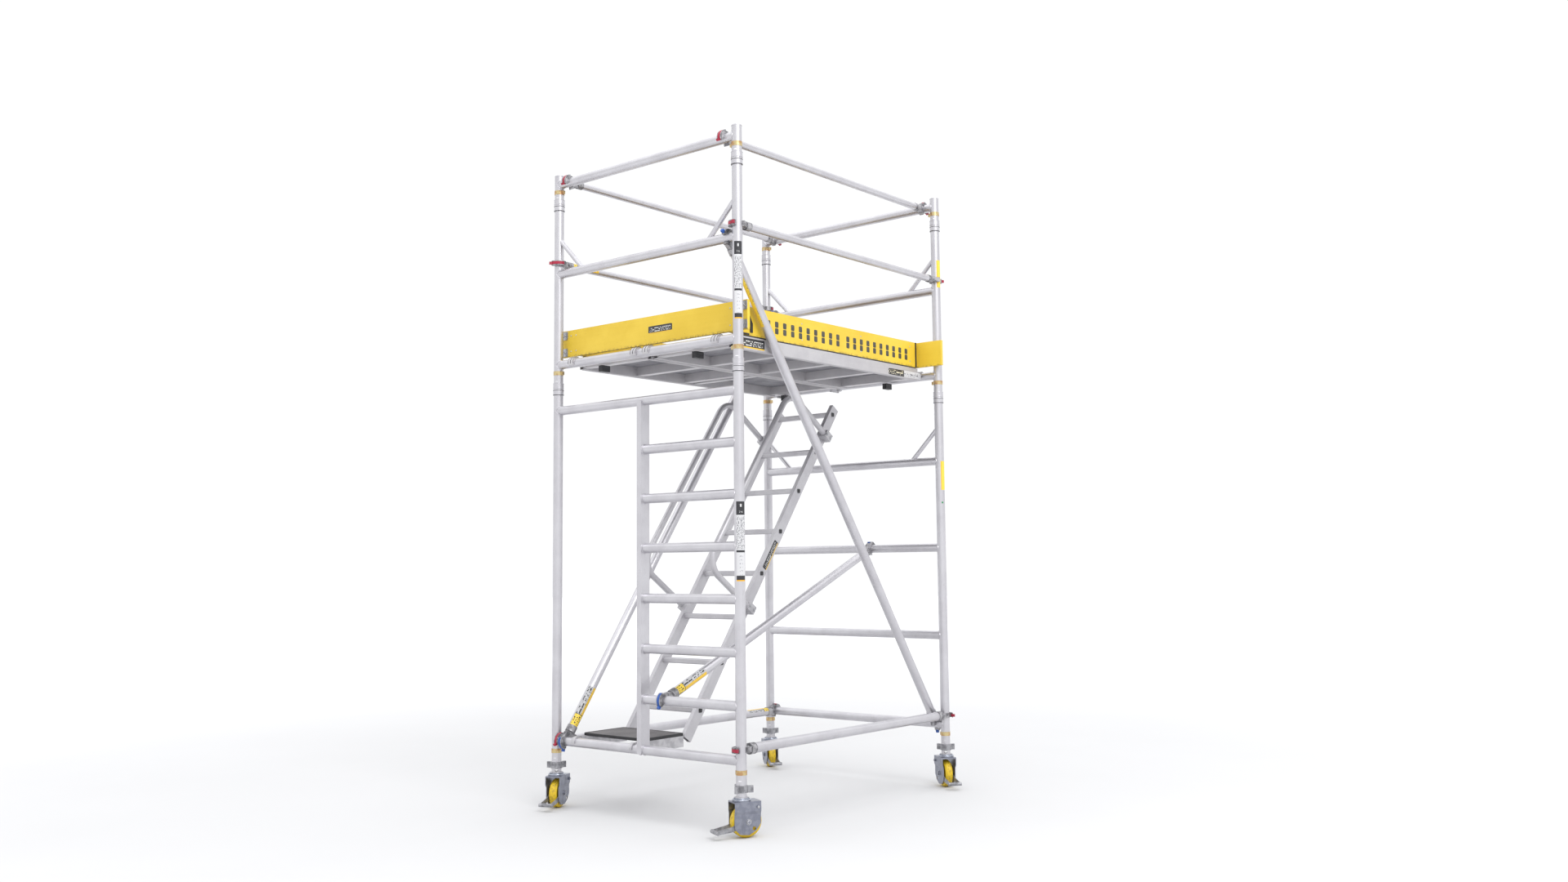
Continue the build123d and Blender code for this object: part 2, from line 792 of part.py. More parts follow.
def caster_plane(letter, x, y, side=False):
    """Plane through the swivel axis on the ground; the side plane lies in the wheel's own plane."""
    yaw = math.radians(fork_yaw[letter])
    forward = (math.cos(yaw), math.sin(yaw), 0)
    if side:
        return Plane(origin=(x, y, 0), x_dir=forward, z_dir=(math.sin(yaw), -math.cos(yaw), 0))
    return Plane(origin=(x, y, 0), x_dir=(-math.sin(yaw), math.cos(yaw), 0), z_dir=forward)


def fork(letter, x, y):
    """Pressed yoke with a creased side, swivel race on top, axle bolt and corner bolts."""
    front = caster_plane(letter, x, y)
    side = caster_plane(letter, x, y, side=True)
    outline = [(42, fork_top), (42, 124), (37, 110), (37, 12), (33, 12), (33, 111), (38, 125), (38, fork_top - 6)]
    with BuildPart() as yoke:
        with BuildSketch(front.offset(-82)):
            with BuildLine():
                Polyline(*outline, *[(-px, pz) for px, pz in reversed(outline)], close=True)
            make_face()
        extrude(amount=132)
        with BuildSketch(side.offset(-60)):
            with BuildLine():
                Polyline(
                    (-82, fork_top), (50, fork_top), (50, 48), (22, 20), (-22, 16), (-58, 34), (-82, 66),
                    close=True,
                )
            make_face()
            with Locations((-48, 44)):
                Circle(9, mode=Mode.SUBTRACT)
        extrude(amount=120, mode=Mode.INTERSECT)
        add_tube((x, y, fork_top), (x, y, fork_top + 9), 43)
        add_tube((x, y, fork_top + 9), (x, y, 183.4), 36)
        axle = side.from_local_coords((-wheel_trail, wheel_radius, 0))
        across = side.z_dir
        add_tube(tuple(axle - across * 46), tuple(axle + across * 46), axle_radius)
        for sign in (-1, 1):
            add_tube(tuple(axle + across * sign * 37), tuple(axle + across * sign * 44), 11)
            bolt = side.from_local_coords((-66, 142, 0)) + across * sign * 42
            add_tube(tuple(bolt), tuple(bolt + across * sign * 6), 7)
    save(yoke.part, f"fork_{letter}")


def wheel(letter, x, y):
    """Solid wheel with a crowned tread, recessed faces and a hub."""
    side = caster_plane(letter, x, y, side=True)
    centre = side.from_local_coords((-wheel_trail, wheel_radius, 0))
    half = wheel_width / 2
    section = Plane(origin=centre, x_dir=(0, 0, 1), z_dir=side.x_dir)
    bore = axle_radius + 0.08
    with BuildPart() as disc:
        with BuildSketch(section):
            with BuildLine():
                Polyline(
                    (bore, -25), (20, -25), (24, -half + 7), (56, -half + 7), (60, -half), (68, -half),
                    (wheel_radius, -half + 8), (wheel_radius, half - 8), (68, half), (60, half),
                    (56, half - 7), (24, half - 7), (20, 25), (bore, 25), close=True,
                )
            make_face()
        revolve(axis=Axis(centre, side.z_dir))
    save(disc.part, f"wheel_{letter}")


def brake_pedal(letter, x, y):
    """U-shaped pedal: two arms that pivot on the axle inside the yoke, and a round foot bar."""
    side = caster_plane(letter, x, y, side=True)
    across = side.z_dir
    with BuildPart() as pedal:
        for offset in (27.5, -31.5):
            with BuildSketch(side.offset(offset)):
                with BuildLine():
                    Polyline(
                        (-wheel_trail - 6, 88), (-wheel_trail + 8, 88), (60, 58), (132, 44), (132, 26),
                        (60, 34), (-wheel_trail - 2, 62), (-wheel_trail - 8, 66), close=True,
                    )
                make_face()
                with Locations((-wheel_trail, wheel_radius)):
                    Circle(axle_radius + 0.08, mode=Mode.SUBTRACT)
            extrude(amount=4)
        bar = side.from_local_coords((134, 35, 0))
        add_tube(tuple(bar - across * 38), tuple(bar + across * 38), 9.5)
    save(pedal.part, f"brake_pedal_{letter}")


def casters():
    """Leg, nut, fork, wheel and brake pedal under each post."""
    for letter, (x, y) in corners().items():
        leg(letter, x, y)
        jack_nut(letter, x, y)
        fork(letter, x, y)
        wheel(letter, x, y)
        brake_pedal(letter, x, y)


end_frames()
interlock_clips()
brace_set()
deck_frames()
deck_boards()
hatch()
wind_latches()
toe_boards()
toe_brackets()
toe_clips()
stair()
tread_plugs()
stair_fittings()
handrails()
casters()
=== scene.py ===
"""Finishes, trim, floor, light and camera for the mobile tower scaffold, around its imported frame."""
import logging
import math
from dataclasses import dataclass, field
from enum import Enum
from typing import Union

import bpy
import numpy as np
from mathutils import Matrix, Vector


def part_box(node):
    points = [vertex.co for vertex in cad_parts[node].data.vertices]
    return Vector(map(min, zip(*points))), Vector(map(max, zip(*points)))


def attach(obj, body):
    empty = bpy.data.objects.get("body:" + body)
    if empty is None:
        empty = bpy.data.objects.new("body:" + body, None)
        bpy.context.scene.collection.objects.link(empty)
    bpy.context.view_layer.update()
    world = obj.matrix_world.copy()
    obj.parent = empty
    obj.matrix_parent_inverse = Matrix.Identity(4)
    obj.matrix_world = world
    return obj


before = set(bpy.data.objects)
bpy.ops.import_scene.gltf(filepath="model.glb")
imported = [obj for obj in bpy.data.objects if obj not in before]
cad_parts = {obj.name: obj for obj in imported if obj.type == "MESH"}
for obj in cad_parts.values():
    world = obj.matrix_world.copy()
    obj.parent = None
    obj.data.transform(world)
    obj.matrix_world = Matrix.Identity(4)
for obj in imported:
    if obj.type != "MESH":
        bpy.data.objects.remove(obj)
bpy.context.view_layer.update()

log = logging.getLogger("tower")

Triple = tuple[float, float, float]
Socket = bpy.types.NodeSocket
Finish = bpy.types.Material
Term = Union["Value", float, Socket]


def paint(red: int, green: int, blue: int) -> Triple:
    """Turn a screen colour from 0 to 255 into the linear colour that shaders use.

    Args:
        red: Red of the screen colour.
        green: Green of the screen colour.
        blue: Blue of the screen colour.

    Returns:
        The linear colour, each part from 0 to 1.
    """
    share = np.array([red, green, blue]) / 255.0
    linear = np.where(share <= 0.04045, share / 12.92, ((share + 0.055) / 1.055) ** 2.4)
    return tuple(float(part) for part in linear)


# ---------------------------------------------------------------- shader writing
class Value:
    """A number that changes over a surface; arithmetic on it adds Math nodes."""

    def __init__(self, recipe: "Recipe", socket: Socket) -> None:
        """Keep the recipe that owns the nodes and the socket that gives the number."""
        self.recipe = recipe
        self.socket = socket

    def _math(self, operation: str, *terms: Term) -> "Value":
        """Add one Math node with the terms as its inputs."""
        node = self.recipe.node("ShaderNodeMath", {"operation": operation}, dict(enumerate(terms)))
        return Value(self.recipe, node.outputs[0])

    def __add__(self, other: Term) -> "Value":
        """Sum."""
        return self._math("ADD", self, other)

    __radd__ = __add__

    def __sub__(self, other: Term) -> "Value":
        """Difference."""
        return self._math("SUBTRACT", self, other)

    def __rsub__(self, other: Term) -> "Value":
        """Difference with this value taken away."""
        return self._math("SUBTRACT", other, self)

    def __mul__(self, other: Term) -> "Value":
        """Product."""
        return self._math("MULTIPLY", self, other)

    __rmul__ = __mul__

    def __pow__(self, power: float) -> "Value":
        """Power."""
        return self._math("POWER", self, power)

    def __abs__(self) -> "Value":
        """Size without the sign."""
        return self._math("ABSOLUTE", self)

    def __gt__(self, edge: Term) -> "Value":
        """One where the value is over the edge, else zero."""
        return self._math("GREATER_THAN", self, edge)

    def __lt__(self, edge: Term) -> "Value":
        """One where the value is under the edge, else zero."""
        return self._math("LESS_THAN", self, edge)

    def fraction(self) -> "Value":
        """Part after the decimal point."""
        return self._math("FRACT", self)

    def ramp(self, low: float, high: float) -> "Value":
        """Smooth step from 0 at low to 1 at high.

        Args:
            low: Where the step starts.
            high: Where the step ends.

        Returns:
            The stepped value.
        """
        settings = {"interpolation_type": "SMOOTHSTEP"}
        node = self.recipe.node("ShaderNodeMapRange", settings, {0: self, 1: low, 2: high})
        return Value(self.recipe, node.outputs[0])


class Recipe:
    """One material and the nodes in it."""

    def __init__(self, name: str) -> None:
        """Start an empty node material with a Principled shader."""
        self.material = bpy.data.materials.new(name)
        self.material.use_nodes = True
        self.tree = self.material.node_tree
        self.tree.nodes.clear()
        self.shader = self.node("ShaderNodeBsdfPrincipled", {}, {})
        self.node("ShaderNodeOutputMaterial", {}, {"Surface": self.shader.outputs[0]})

    def node(self, kind: str, settings: dict, sockets: dict) -> bpy.types.Node:
        """Add a node, set its options, then its sockets.

        Args:
            kind: The node's type name.
            settings: Option names and values.
            sockets: Input names or numbers with values, linked Values or sockets.

        Returns:
            The new node.
        """
        made = self.tree.nodes.new(kind)
        for option, choice in settings.items():
            setattr(made, option, choice)
        for place, given in sockets.items():
            self.feed(made.inputs[place], given)
        return made

    def feed(self, socket: Socket, given: Term | Triple) -> None:
        """Link or set one input socket.

        Args:
            socket: The input.
            given: A Value or a socket to link, or a number or colour to set.
        """
        if isinstance(given, (Value, Socket)):
            self.tree.links.new(given.socket if isinstance(given, Value) else given, socket)
        else:
            socket.default_value = (*given, 1.0) if socket.type == "RGBA" else given

    def place(self, stretch: Triple = (1, 1, 1), turn: Triple = (0, 0, 0), middle: Triple = (0, 0, 0),
              uv: bool = False) -> Socket:
        """Coordinates of the surface, moved to a middle, turned and then stretched.

        Args:
            stretch: Scale along each axis after the turn.
            turn: Rotation in radians.
            middle: Point that becomes the origin.
            uv: True to start from the piece's own UV map.

        Returns:
            The coordinate socket.
        """
        source = self.node("ShaderNodeTexCoord", {}, {}).outputs["UV" if uv else "Object"]
        if any(middle) or any(turn):
            moved = {0: source, 1: middle, 2: turn}
            source = self.node("ShaderNodeMapping", {"vector_type": "TEXTURE"}, moved).outputs[0]
        return self.node("ShaderNodeMapping", {}, {0: source, 3: stretch}).outputs[0]

    def split(self, source: Socket) -> tuple[Value, Value, Value]:
        """The three parts of a coordinate as Values."""
        node = self.node("ShaderNodeSeparateXYZ", {}, {0: source})
        return tuple(Value(self, out) for out in node.outputs)

    def noise(self, where: Socket, scale: float, detail: float = 3.0, rough: float = 0.55) -> Value:
        """Cloudy noise from 0 to 1.

        Args:
            where: Coordinates.
            scale: Size of the pattern; larger is finer.
            detail: Number of finer layers.
            rough: Share of the finer layers.

        Returns:
            The noise.
        """
        sockets = {"Vector": where, "Scale": scale, "Detail": detail, "Roughness": rough}
        return Value(self, self.node("ShaderNodeTexNoise", {}, sockets).outputs[0])

    def cells(self, where: Socket, scale: float) -> Value:
        """Distance to the nearest of scattered points, for specks and dimples."""
        node = self.node("ShaderNodeTexVoronoi", {}, {"Vector": where, "Scale": scale})
        return Value(self, node.outputs["Distance"])

    def mix(self, share: Term, low: Triple | Socket, high: Triple | Socket) -> Socket:
        """Colour that goes from low to high with the share."""
        return self.node("ShaderNodeMix", {"data_type": "RGBA"}, {0: share, 6: low, 7: high}).outputs[2]

    def finish(self, colour: Term | Triple, rough: Term, metal: float = 0.0, height: Value | None = None,
               depth: float = 0.001, coat: float = 0.0) -> Finish:
        """Join the patterns to the shader.

        Args:
            colour: Base colour.
            rough: Roughness.
            metal: Metallic share, the same all over.
            height: Relief from 0 to 1, or None.
            depth: Height of the relief in metres.
            coat: Clear coat weight, the same all over.

        Returns:
            The finished material.
        """
        self.feed(self.shader.inputs["Base Color"], colour)
        self.feed(self.shader.inputs["Roughness"], rough)
        self.shader.inputs["Metallic"].default_value = metal
        self.shader.inputs["Coat Weight"].default_value = coat
        if height is not None:
            bump = self.node("ShaderNodeBump", {}, {"Strength": 1.0, "Distance": depth, "Height": height})
            self.feed(self.shader.inputs["Normal"], bump.outputs[0])
        return self.material


# ---------------------------------------------------------------- finishes
class Grain(Enum):
    """The way the drawing lines of an extrusion run."""

    POSTS = "posts"
    ALONG_X = "x"
    SLOPE = "slope"


@dataclass(frozen=True)
class Aluminium:
    """Mill-finish aluminium with drawing lines, oxide clouds, rubs and a few mortar specks.

    Attributes:
        name: Name of the material.
        light: Colour of clean metal.
        dull: Colour of the oxidised clouds.
        grain: The way the lines run.
        slope: Angle of a sloping tube above the X axis, in radians.
        rough: Mean roughness.
        metal: Metallic share.
    """

    name: str
    light: Triple = paint(207, 206, 210)
    dull: Triple = paint(190, 188, 193)
    grain: Grain = Grain.POSTS
    slope: float = 0.0
    rough: float = 0.29
    metal: float = 0.88

    def lines(self, recipe: Recipe) -> Value:
        """Fine lines along the tubes: noise squeezed across the grain, chosen by place for end frames."""
        fine, long = 420.0, 3.0
        if self.grain is Grain.SLOPE:
            return recipe.noise(recipe.place((long, fine, fine), turn=(0, -self.slope, 0)), 1.0, 2.0)
        if self.grain is Grain.ALONG_X:
            return recipe.noise(recipe.place((long, fine, fine)), 1.0, 2.0)
        across = recipe.noise(recipe.place((fine, long, fine)), 1.0, 2.0)
        upright = recipe.noise(recipe.place((fine, fine, long)), 1.0, 2.0)
        _, y, _ = recipe.split(recipe.place(middle=tuple(TOWER.middle)))
        post = abs(y) > TOWER.half_width - 0.03
        return upright * post + across * (1 - post)

    def material(self) -> Finish:
        """Build the material."""
        recipe = Recipe(self.name)
        lines = self.lines(recipe)
        clouds = recipe.noise(recipe.place(), 7.0, 5.0, 0.62).ramp(0.36, 0.68)
        rubs = recipe.noise(recipe.place((1, 1, 0.35)), 38.0, 6.0, 0.7).ramp(0.6, 0.74)
        specks = 1 - recipe.cells(recipe.place(), 42.0).ramp(0.07, 0.13)
        dust = specks * recipe.noise(recipe.place(), 5.0, 2.0).ramp(0.6, 0.66)
        colour = recipe.mix(clouds * 0.5 + lines * 0.4, self.light, self.dull)
        colour = recipe.mix(rubs * 0.22, colour, paint(150, 147, 150))
        colour = recipe.mix(dust * 0.7, colour, paint(214, 211, 204))
        rough = self.rough + clouds * 0.06 + lines * 0.1 + dust * 0.2
        return recipe.finish(colour, rough, self.metal, lines * 0.8 + rubs * 0.2 + dust, 0.00008)


@dataclass(frozen=True)
class Casting:
    """Sand or die casting: fine grain, darker in the clouds, rubbed bright in places.

    Attributes:
        name: Name of the material.
        light: Rubbed colour.
        dark: Colour in the hollows.
        metal: Metallic share.
        rough: Mean roughness.
    """

    name: str
    light: Triple = paint(176, 175, 178)
    dark: Triple = paint(112, 111, 115)
    metal: float = 0.7
    rough: float = 0.48

    def material(self) -> Finish:
        """Build the material."""
        recipe = Recipe(self.name)
        where = recipe.place()
        grain = recipe.noise(where, 900.0, 3.0, 0.6)
        clouds = recipe.noise(where, 34.0, 4.0, 0.6).ramp(0.38, 0.66)
        pits = recipe.cells(where, 260.0).ramp(0.05, 0.3)
        colour = recipe.mix(clouds, self.light, self.dark)
        colour = recipe.mix((1 - pits) * 0.5, colour, self.dark)
        relief = grain * 0.5 + pits * 0.5
        return recipe.finish(colour, self.rough + clouds * 0.2, self.metal, relief, 0.0004)


@dataclass(frozen=True)
class Plated:
    """Zinc-plated sheet: patches of spangle in two tints, with smears.

    Attributes:
        name: Name of the material.
        first: One tint.
        second: The other tint.
        smear: Colour of the smears.
    """

    name: str
    first: Triple = paint(134, 137, 150)
    second: Triple = paint(146, 149, 161)
    smear: Triple = paint(112, 112, 120)

    def material(self) -> Finish:
        """Build the material."""
        recipe = Recipe(self.name)
        where = recipe.place()
        spangle = recipe.noise(where, 46.0, 2.0, 0.4).ramp(0.4, 0.62)
        smears = recipe.noise(recipe.place((1, 1, 0.25)), 24.0, 5.0, 0.66).ramp(0.54, 0.72)
        fine = recipe.noise(where, 700.0, 2.0)
        colour = recipe.mix(spangle, self.first, self.second)
        colour = recipe.mix(smears * 0.4, colour, self.smear)
        return recipe.finish(colour, 0.27 + smears * 0.12 + fine * 0.08, 0.85, fine + smears, 0.00005)


@dataclass(frozen=True)
class Moulded:
    """Moulded plastic or paint: fine leather grain, darker clouds and pale scuffs on its high spots.

    Attributes:
        name: Name of the material.
        colour: Main colour.
        scuffed: Colour of the scuffs.
        rough: Mean roughness.
    """

    name: str
    colour: Triple
    scuffed: Triple
    rough: float = 0.38

    def material(self) -> Finish:
        """Build the material."""
        recipe = Recipe(self.name)
        where = recipe.place()
        grain = recipe.cells(where, 640.0).ramp(0.0, 0.6)
        scuffs = recipe.noise(where, 85.0, 6.0, 0.72).ramp(0.56, 0.74)
        shade = recipe.noise(where, 18.0, 2.0)
        deep = tuple(part * 0.72 for part in self.colour)
        colour = recipe.mix(shade.ramp(0.35, 0.7), self.colour, deep)
        colour = recipe.mix(scuffs * 0.55, colour, self.scuffed)
        return recipe.finish(colour, self.rough + scuffs * 0.3, 0.0, grain * 0.6 + scuffs * 0.4, 0.00018)


@dataclass(frozen=True)
class PaintedBoard:
    """Yellow plywood board: grain under thick paint, scuff lines, dark specks and worn lower edges."""

    name: str

    def material(self) -> Finish:
        """Build the material; the grain runs along X on side boards and along Y on end boards."""
        recipe = Recipe(self.name)
        along_x = recipe.noise(recipe.place((2.5, 60, 60)), 1.0, 4.0)
        along_y = recipe.noise(recipe.place((60, 2.5, 60)), 1.0, 4.0)
        x, _, _ = recipe.split(recipe.place(middle=tuple(TOWER.middle)))
        end = abs(x) > TOWER.half_bay - 0.0635
        grain = along_y * end + along_x * (1 - end)
        clouds = recipe.noise(recipe.place(), 4.5, 4.0).ramp(0.35, 0.7)
        specks = 1 - recipe.cells(recipe.place((1, 1, 1.6)), 30.0).ramp(0.03, 0.06)
        scrapes = recipe.noise(recipe.place((16, 16, 150)), 1.0, 5.0, 0.7).ramp(0.66, 0.76)
        _, _, height = recipe.split(recipe.place(middle=(0, 0, TOWER.toe_bottom)))
        worn = (1 - height.ramp(0.0, 0.014)) * recipe.noise(recipe.place(), 60.0, 4.0).ramp(0.42, 0.6)
        colour = recipe.mix(clouds * 0.6 + grain * 0.4, paint(228, 196, 62), paint(212, 178, 46))
        colour = recipe.mix(scrapes * 0.4, colour, paint(196, 166, 60))
        colour = recipe.mix(specks * 0.75 + worn * 0.6, colour, paint(116, 98, 52))
        rough = 0.42 + clouds * 0.14 + grain * 0.1
        return recipe.finish(colour, rough, 0.0, grain * 0.8 + scrapes * 0.2, 0.0005, coat=0.12)


@dataclass(frozen=True)
class DeckBoard:
    """Film-faced plywood: pressed mesh and brown film on top, grey and streaky below."""

    name: str

    def material(self) -> Finish:
        """Build the material; the mesh is two crossed waves kept to the upper face."""
        recipe = Recipe(self.name)
        x, y, z = recipe.split(recipe.place())
        upper = z > TOWER.deck_top - 0.003
        first = abs(((x + y * 0.6) * 70.0).fraction() - 0.5)
        second = abs(((x - y * 0.6) * 70.0).fraction() - 0.5)
        mesh = (first.ramp(0.32, 0.46) + second.ramp(0.32, 0.46)) * upper
        streaks = recipe.noise(recipe.place((2, 70, 70)), 1.0, 4.0)
        clouds = recipe.noise(recipe.place(), 9.0, 5.0, 0.65).ramp(0.35, 0.7)
        below = recipe.mix(streaks * 0.6 + clouds * 0.4, paint(142, 141, 147), paint(98, 97, 103))
        above = recipe.mix(clouds, paint(84, 62, 48), paint(118, 98, 82))
        colour = recipe.mix(upper, below, above)
        return recipe.finish(colour, 0.5 + clouds * 0.2, 0.0, mesh * 0.6 + streaks * 0.4, 0.0008)


@dataclass(frozen=True)
class WheelFinish:
    """Yellow wheel: clean faces, road dirt on the tread and round the hub.

    Attributes:
        name: Name of the material.
        centre: Middle of the wheel.
        turn: Angle of the axle round Z, in radians.
    """

    name: str
    centre: Triple
    turn: float

    def material(self) -> Finish:
        """Build the material; distance from the axle is the length of the in-plane coordinates."""
        recipe = Recipe(self.name)
        where = recipe.place(turn=(0, 0, self.turn), middle=self.centre)
        along, _, up = recipe.split(where)
        reach = (along * along + up * up) ** 0.5
        tread = reach.ramp(0.071, 0.0745)
        hub = 1 - reach.ramp(0.018, 0.036)
        dirt = recipe.noise(where, 60.0, 6.0, 0.7).ramp(0.42, 0.66)
        fine = recipe.noise(where, 420.0, 3.0)
        colour = recipe.mix(recipe.noise(where, 22.0, 3.0), paint(238, 205, 40), paint(214, 178, 34))
        colour = recipe.mix(dirt * (tread * 0.55 + hub * 0.5 + 0.1), colour, paint(104, 88, 52))
        return recipe.finish(colour, 0.4 + dirt * 0.25, 0.0, fine * 0.5 + dirt * 0.5, 0.0004)


class Print(Enum):
    """What a label shows; none of it can be read."""

    POST = "post"
    BRACE = "brace"
    PLATE = "plate"
    STRIPE = "stripe"
    BEAM = "beam"
    DOT = "dot"


ROW_COUNT = {Print.POST: 9.0, Print.BRACE: 4.0, Print.PLATE: 5.0, Print.BEAM: 3.0}
WORD_SCALE = {Print.POST: (64, 9, 1), Print.BEAM: (34, 3, 1), Print.PLATE: (30, 5, 1)}
INK, PAPER, AMBER = paint(44, 44, 48), paint(204, 204, 206), paint(232, 172, 40)
YELLOW, GOLD = paint(236, 204, 70), paint(232, 190, 62)


@dataclass(frozen=True)
class Sticker:
    """Printed label: fields of colour with rows of short marks, set out in the piece's own UV map.

    Attributes:
        name: Name of the material.
        layout: Which fields the label has.
    """

    name: str
    layout: Print

    def post(self, recipe: Recipe, u: Value, v: Value, rows: Value) -> Socket:
        """Black head with an emblem, dense marks, a bar, sparse marks, and a black and amber foot.

        Args:
            recipe: The material that gets the nodes.
            u: Place along the label from 0 to 1.
            v: Place across it from 0 to 1.
            rows: The rows of marks.

        Returns:
            The printed colour.
        """
        block = (u < 0.17) + (u > 0.93)
        dense = (u < 0.6) * (u > 0.19)
        colour = recipe.mix(rows * dense * 0.9, PAPER, paint(60, 60, 68))
        sparse = rows * (u > 0.66) * (abs(v - 0.5) < 0.2) * (((u * 22.0).fraction()) < 0.35)
        colour = recipe.mix(sparse * 0.8, colour, paint(80, 82, 92))
        colour = recipe.mix(block + (u > 0.612) * (u < 0.64), colour, INK)
        emblem = (abs(u - 0.05) < 0.018) * (abs(v - 0.5) < 0.09)
        emblem = emblem + rows * (abs(u - 0.13) < 0.012) * (abs(v - 0.5) < 0.2)
        colour = recipe.mix(emblem * 0.9, colour, paint(206, 206, 206))
        return recipe.mix(u > 0.984, colour, AMBER)

    def brace(self, recipe: Recipe, u: Value, v: Value, rows: Value) -> Socket:
        """Yellow panel with dark marks, then marks on grey beside a golden strip.

        Args:
            recipe: The material that gets the nodes.
            u: Place along the label from 0 to 1.
            v: Place across it from 0 to 1.
            rows: The rows of marks.

        Returns:
            The printed colour.
        """
        panel = u < 0.3
        colour = recipe.mix(rows, paint(186, 186, 188), INK)
        colour = recipe.mix((v > 0.6) * (u > 0.3), colour, GOLD)
        colour = recipe.mix(panel, colour, YELLOW)
        colour = recipe.mix(panel * rows * (abs(u - 0.15) < 0.1), colour, INK)
        return recipe.mix(panel * ((u > 0.285) + (v > 0.94)), colour, INK)

    def plate(self, recipe: Recipe, u: Value, v: Value, rows: Value) -> Socket:
        """Pale marks on black with a golden lower edge."""
        marks = rows * (abs(v - 0.5) < 0.34) * (abs(u - 0.5) < 0.44)
        return recipe.mix(v < 0.14, recipe.mix(marks, INK, paint(212, 212, 210)), GOLD)

    def beam(self, recipe: Recipe, u: Value, v: Value, rows: Value) -> Socket:
        """Black half with pale marks and pale half with grey marks.

        Args:
            recipe: The material that gets the nodes.
            u: Place along the label from 0 to 1.
            v: Place across it from 0 to 1.
            rows: The rows of marks.

        Returns:
            The printed colour.
        """
        dark = u < 0.47
        colour = recipe.mix(rows * (abs(v - 0.5) < 0.3), PAPER, paint(84, 84, 90))
        colour = recipe.mix(dark, colour, INK)
        return recipe.mix(dark * rows * (abs(v - 0.5) < 0.33), colour, paint(214, 206, 178))

    def colour(self, recipe: Recipe, u: Value, v: Value) -> Socket:
        """The printed colour.

        Args:
            recipe: The material that gets the nodes.
            u: Place along the label from 0 to 1.
            v: Place across it from 0 to 1.

        Returns:
            The colour of the layout's fields.
        """
        rows = self.marks(recipe, u, v)
        fields = {Print.POST: self.post, Print.BRACE: self.brace, Print.PLATE: self.plate,
                  Print.BEAM: self.beam}
        if self.layout in fields:
            return fields[self.layout](recipe, u, v, rows)
        if self.layout is Print.DOT:
            return recipe.mix(recipe.noise(recipe.place(), 300.0), paint(40, 150, 90), paint(30, 120, 72))
        return recipe.mix(v > 0.9, recipe.mix(rows * (v < 0.25) * 0.7, YELLOW, INK), AMBER)

    def material(self) -> Finish:
        """Build the material, with the print worn through in places."""
        recipe = Recipe(self.name)
        u, v, _ = recipe.split(recipe.place(uv=True))
        colour = self.colour(recipe, u, v)
        wear = recipe.noise(recipe.place(), 130.0, 6.0, 0.75).ramp(0.62, 0.76)
        colour = recipe.mix(wear * 0.45, colour, paint(176, 175, 177))
        return recipe.finish(colour, 0.4 + wear * 0.3, 0.0, 1 - wear, 0.0001)

    def marks(self, recipe: Recipe, u: Value, v: Value) -> Value:
        """Rows of short dashes: a stripe across v, cut up by noise that changes quickly along u.

        Args:
            recipe: The material that gets the nodes.
            u: Place along the label from 0 to 1.
            v: Place across it from 0 to 1.

        Returns:
            One on a dash, else zero.
        """
        line = abs((v * ROW_COUNT.get(self.layout, 6.0)).fraction() - 0.5) < 0.3
        word = WORD_SCALE.get(self.layout, (26, 4, 1))
        return line * (recipe.noise(recipe.place(word, uv=True), 1.0, 1.0) > 0.52)


# ---------------------------------------------------------------- surfaces
def turns(steps: int, shift: float = 0.0) -> np.ndarray:
    """Angles once round a circle in equal steps."""
    return np.arange(steps) * 2 * np.pi / steps + shift


def rounded(t: np.ndarray, power: float) -> tuple[np.ndarray, np.ndarray]:
    """Superellipse of unit half size: the signed powers of the cosine and of the sine."""
    across, up = np.cos(t), np.sin(t)
    return np.sign(across) * np.abs(across) ** power, np.sign(up) * np.abs(up) ** power


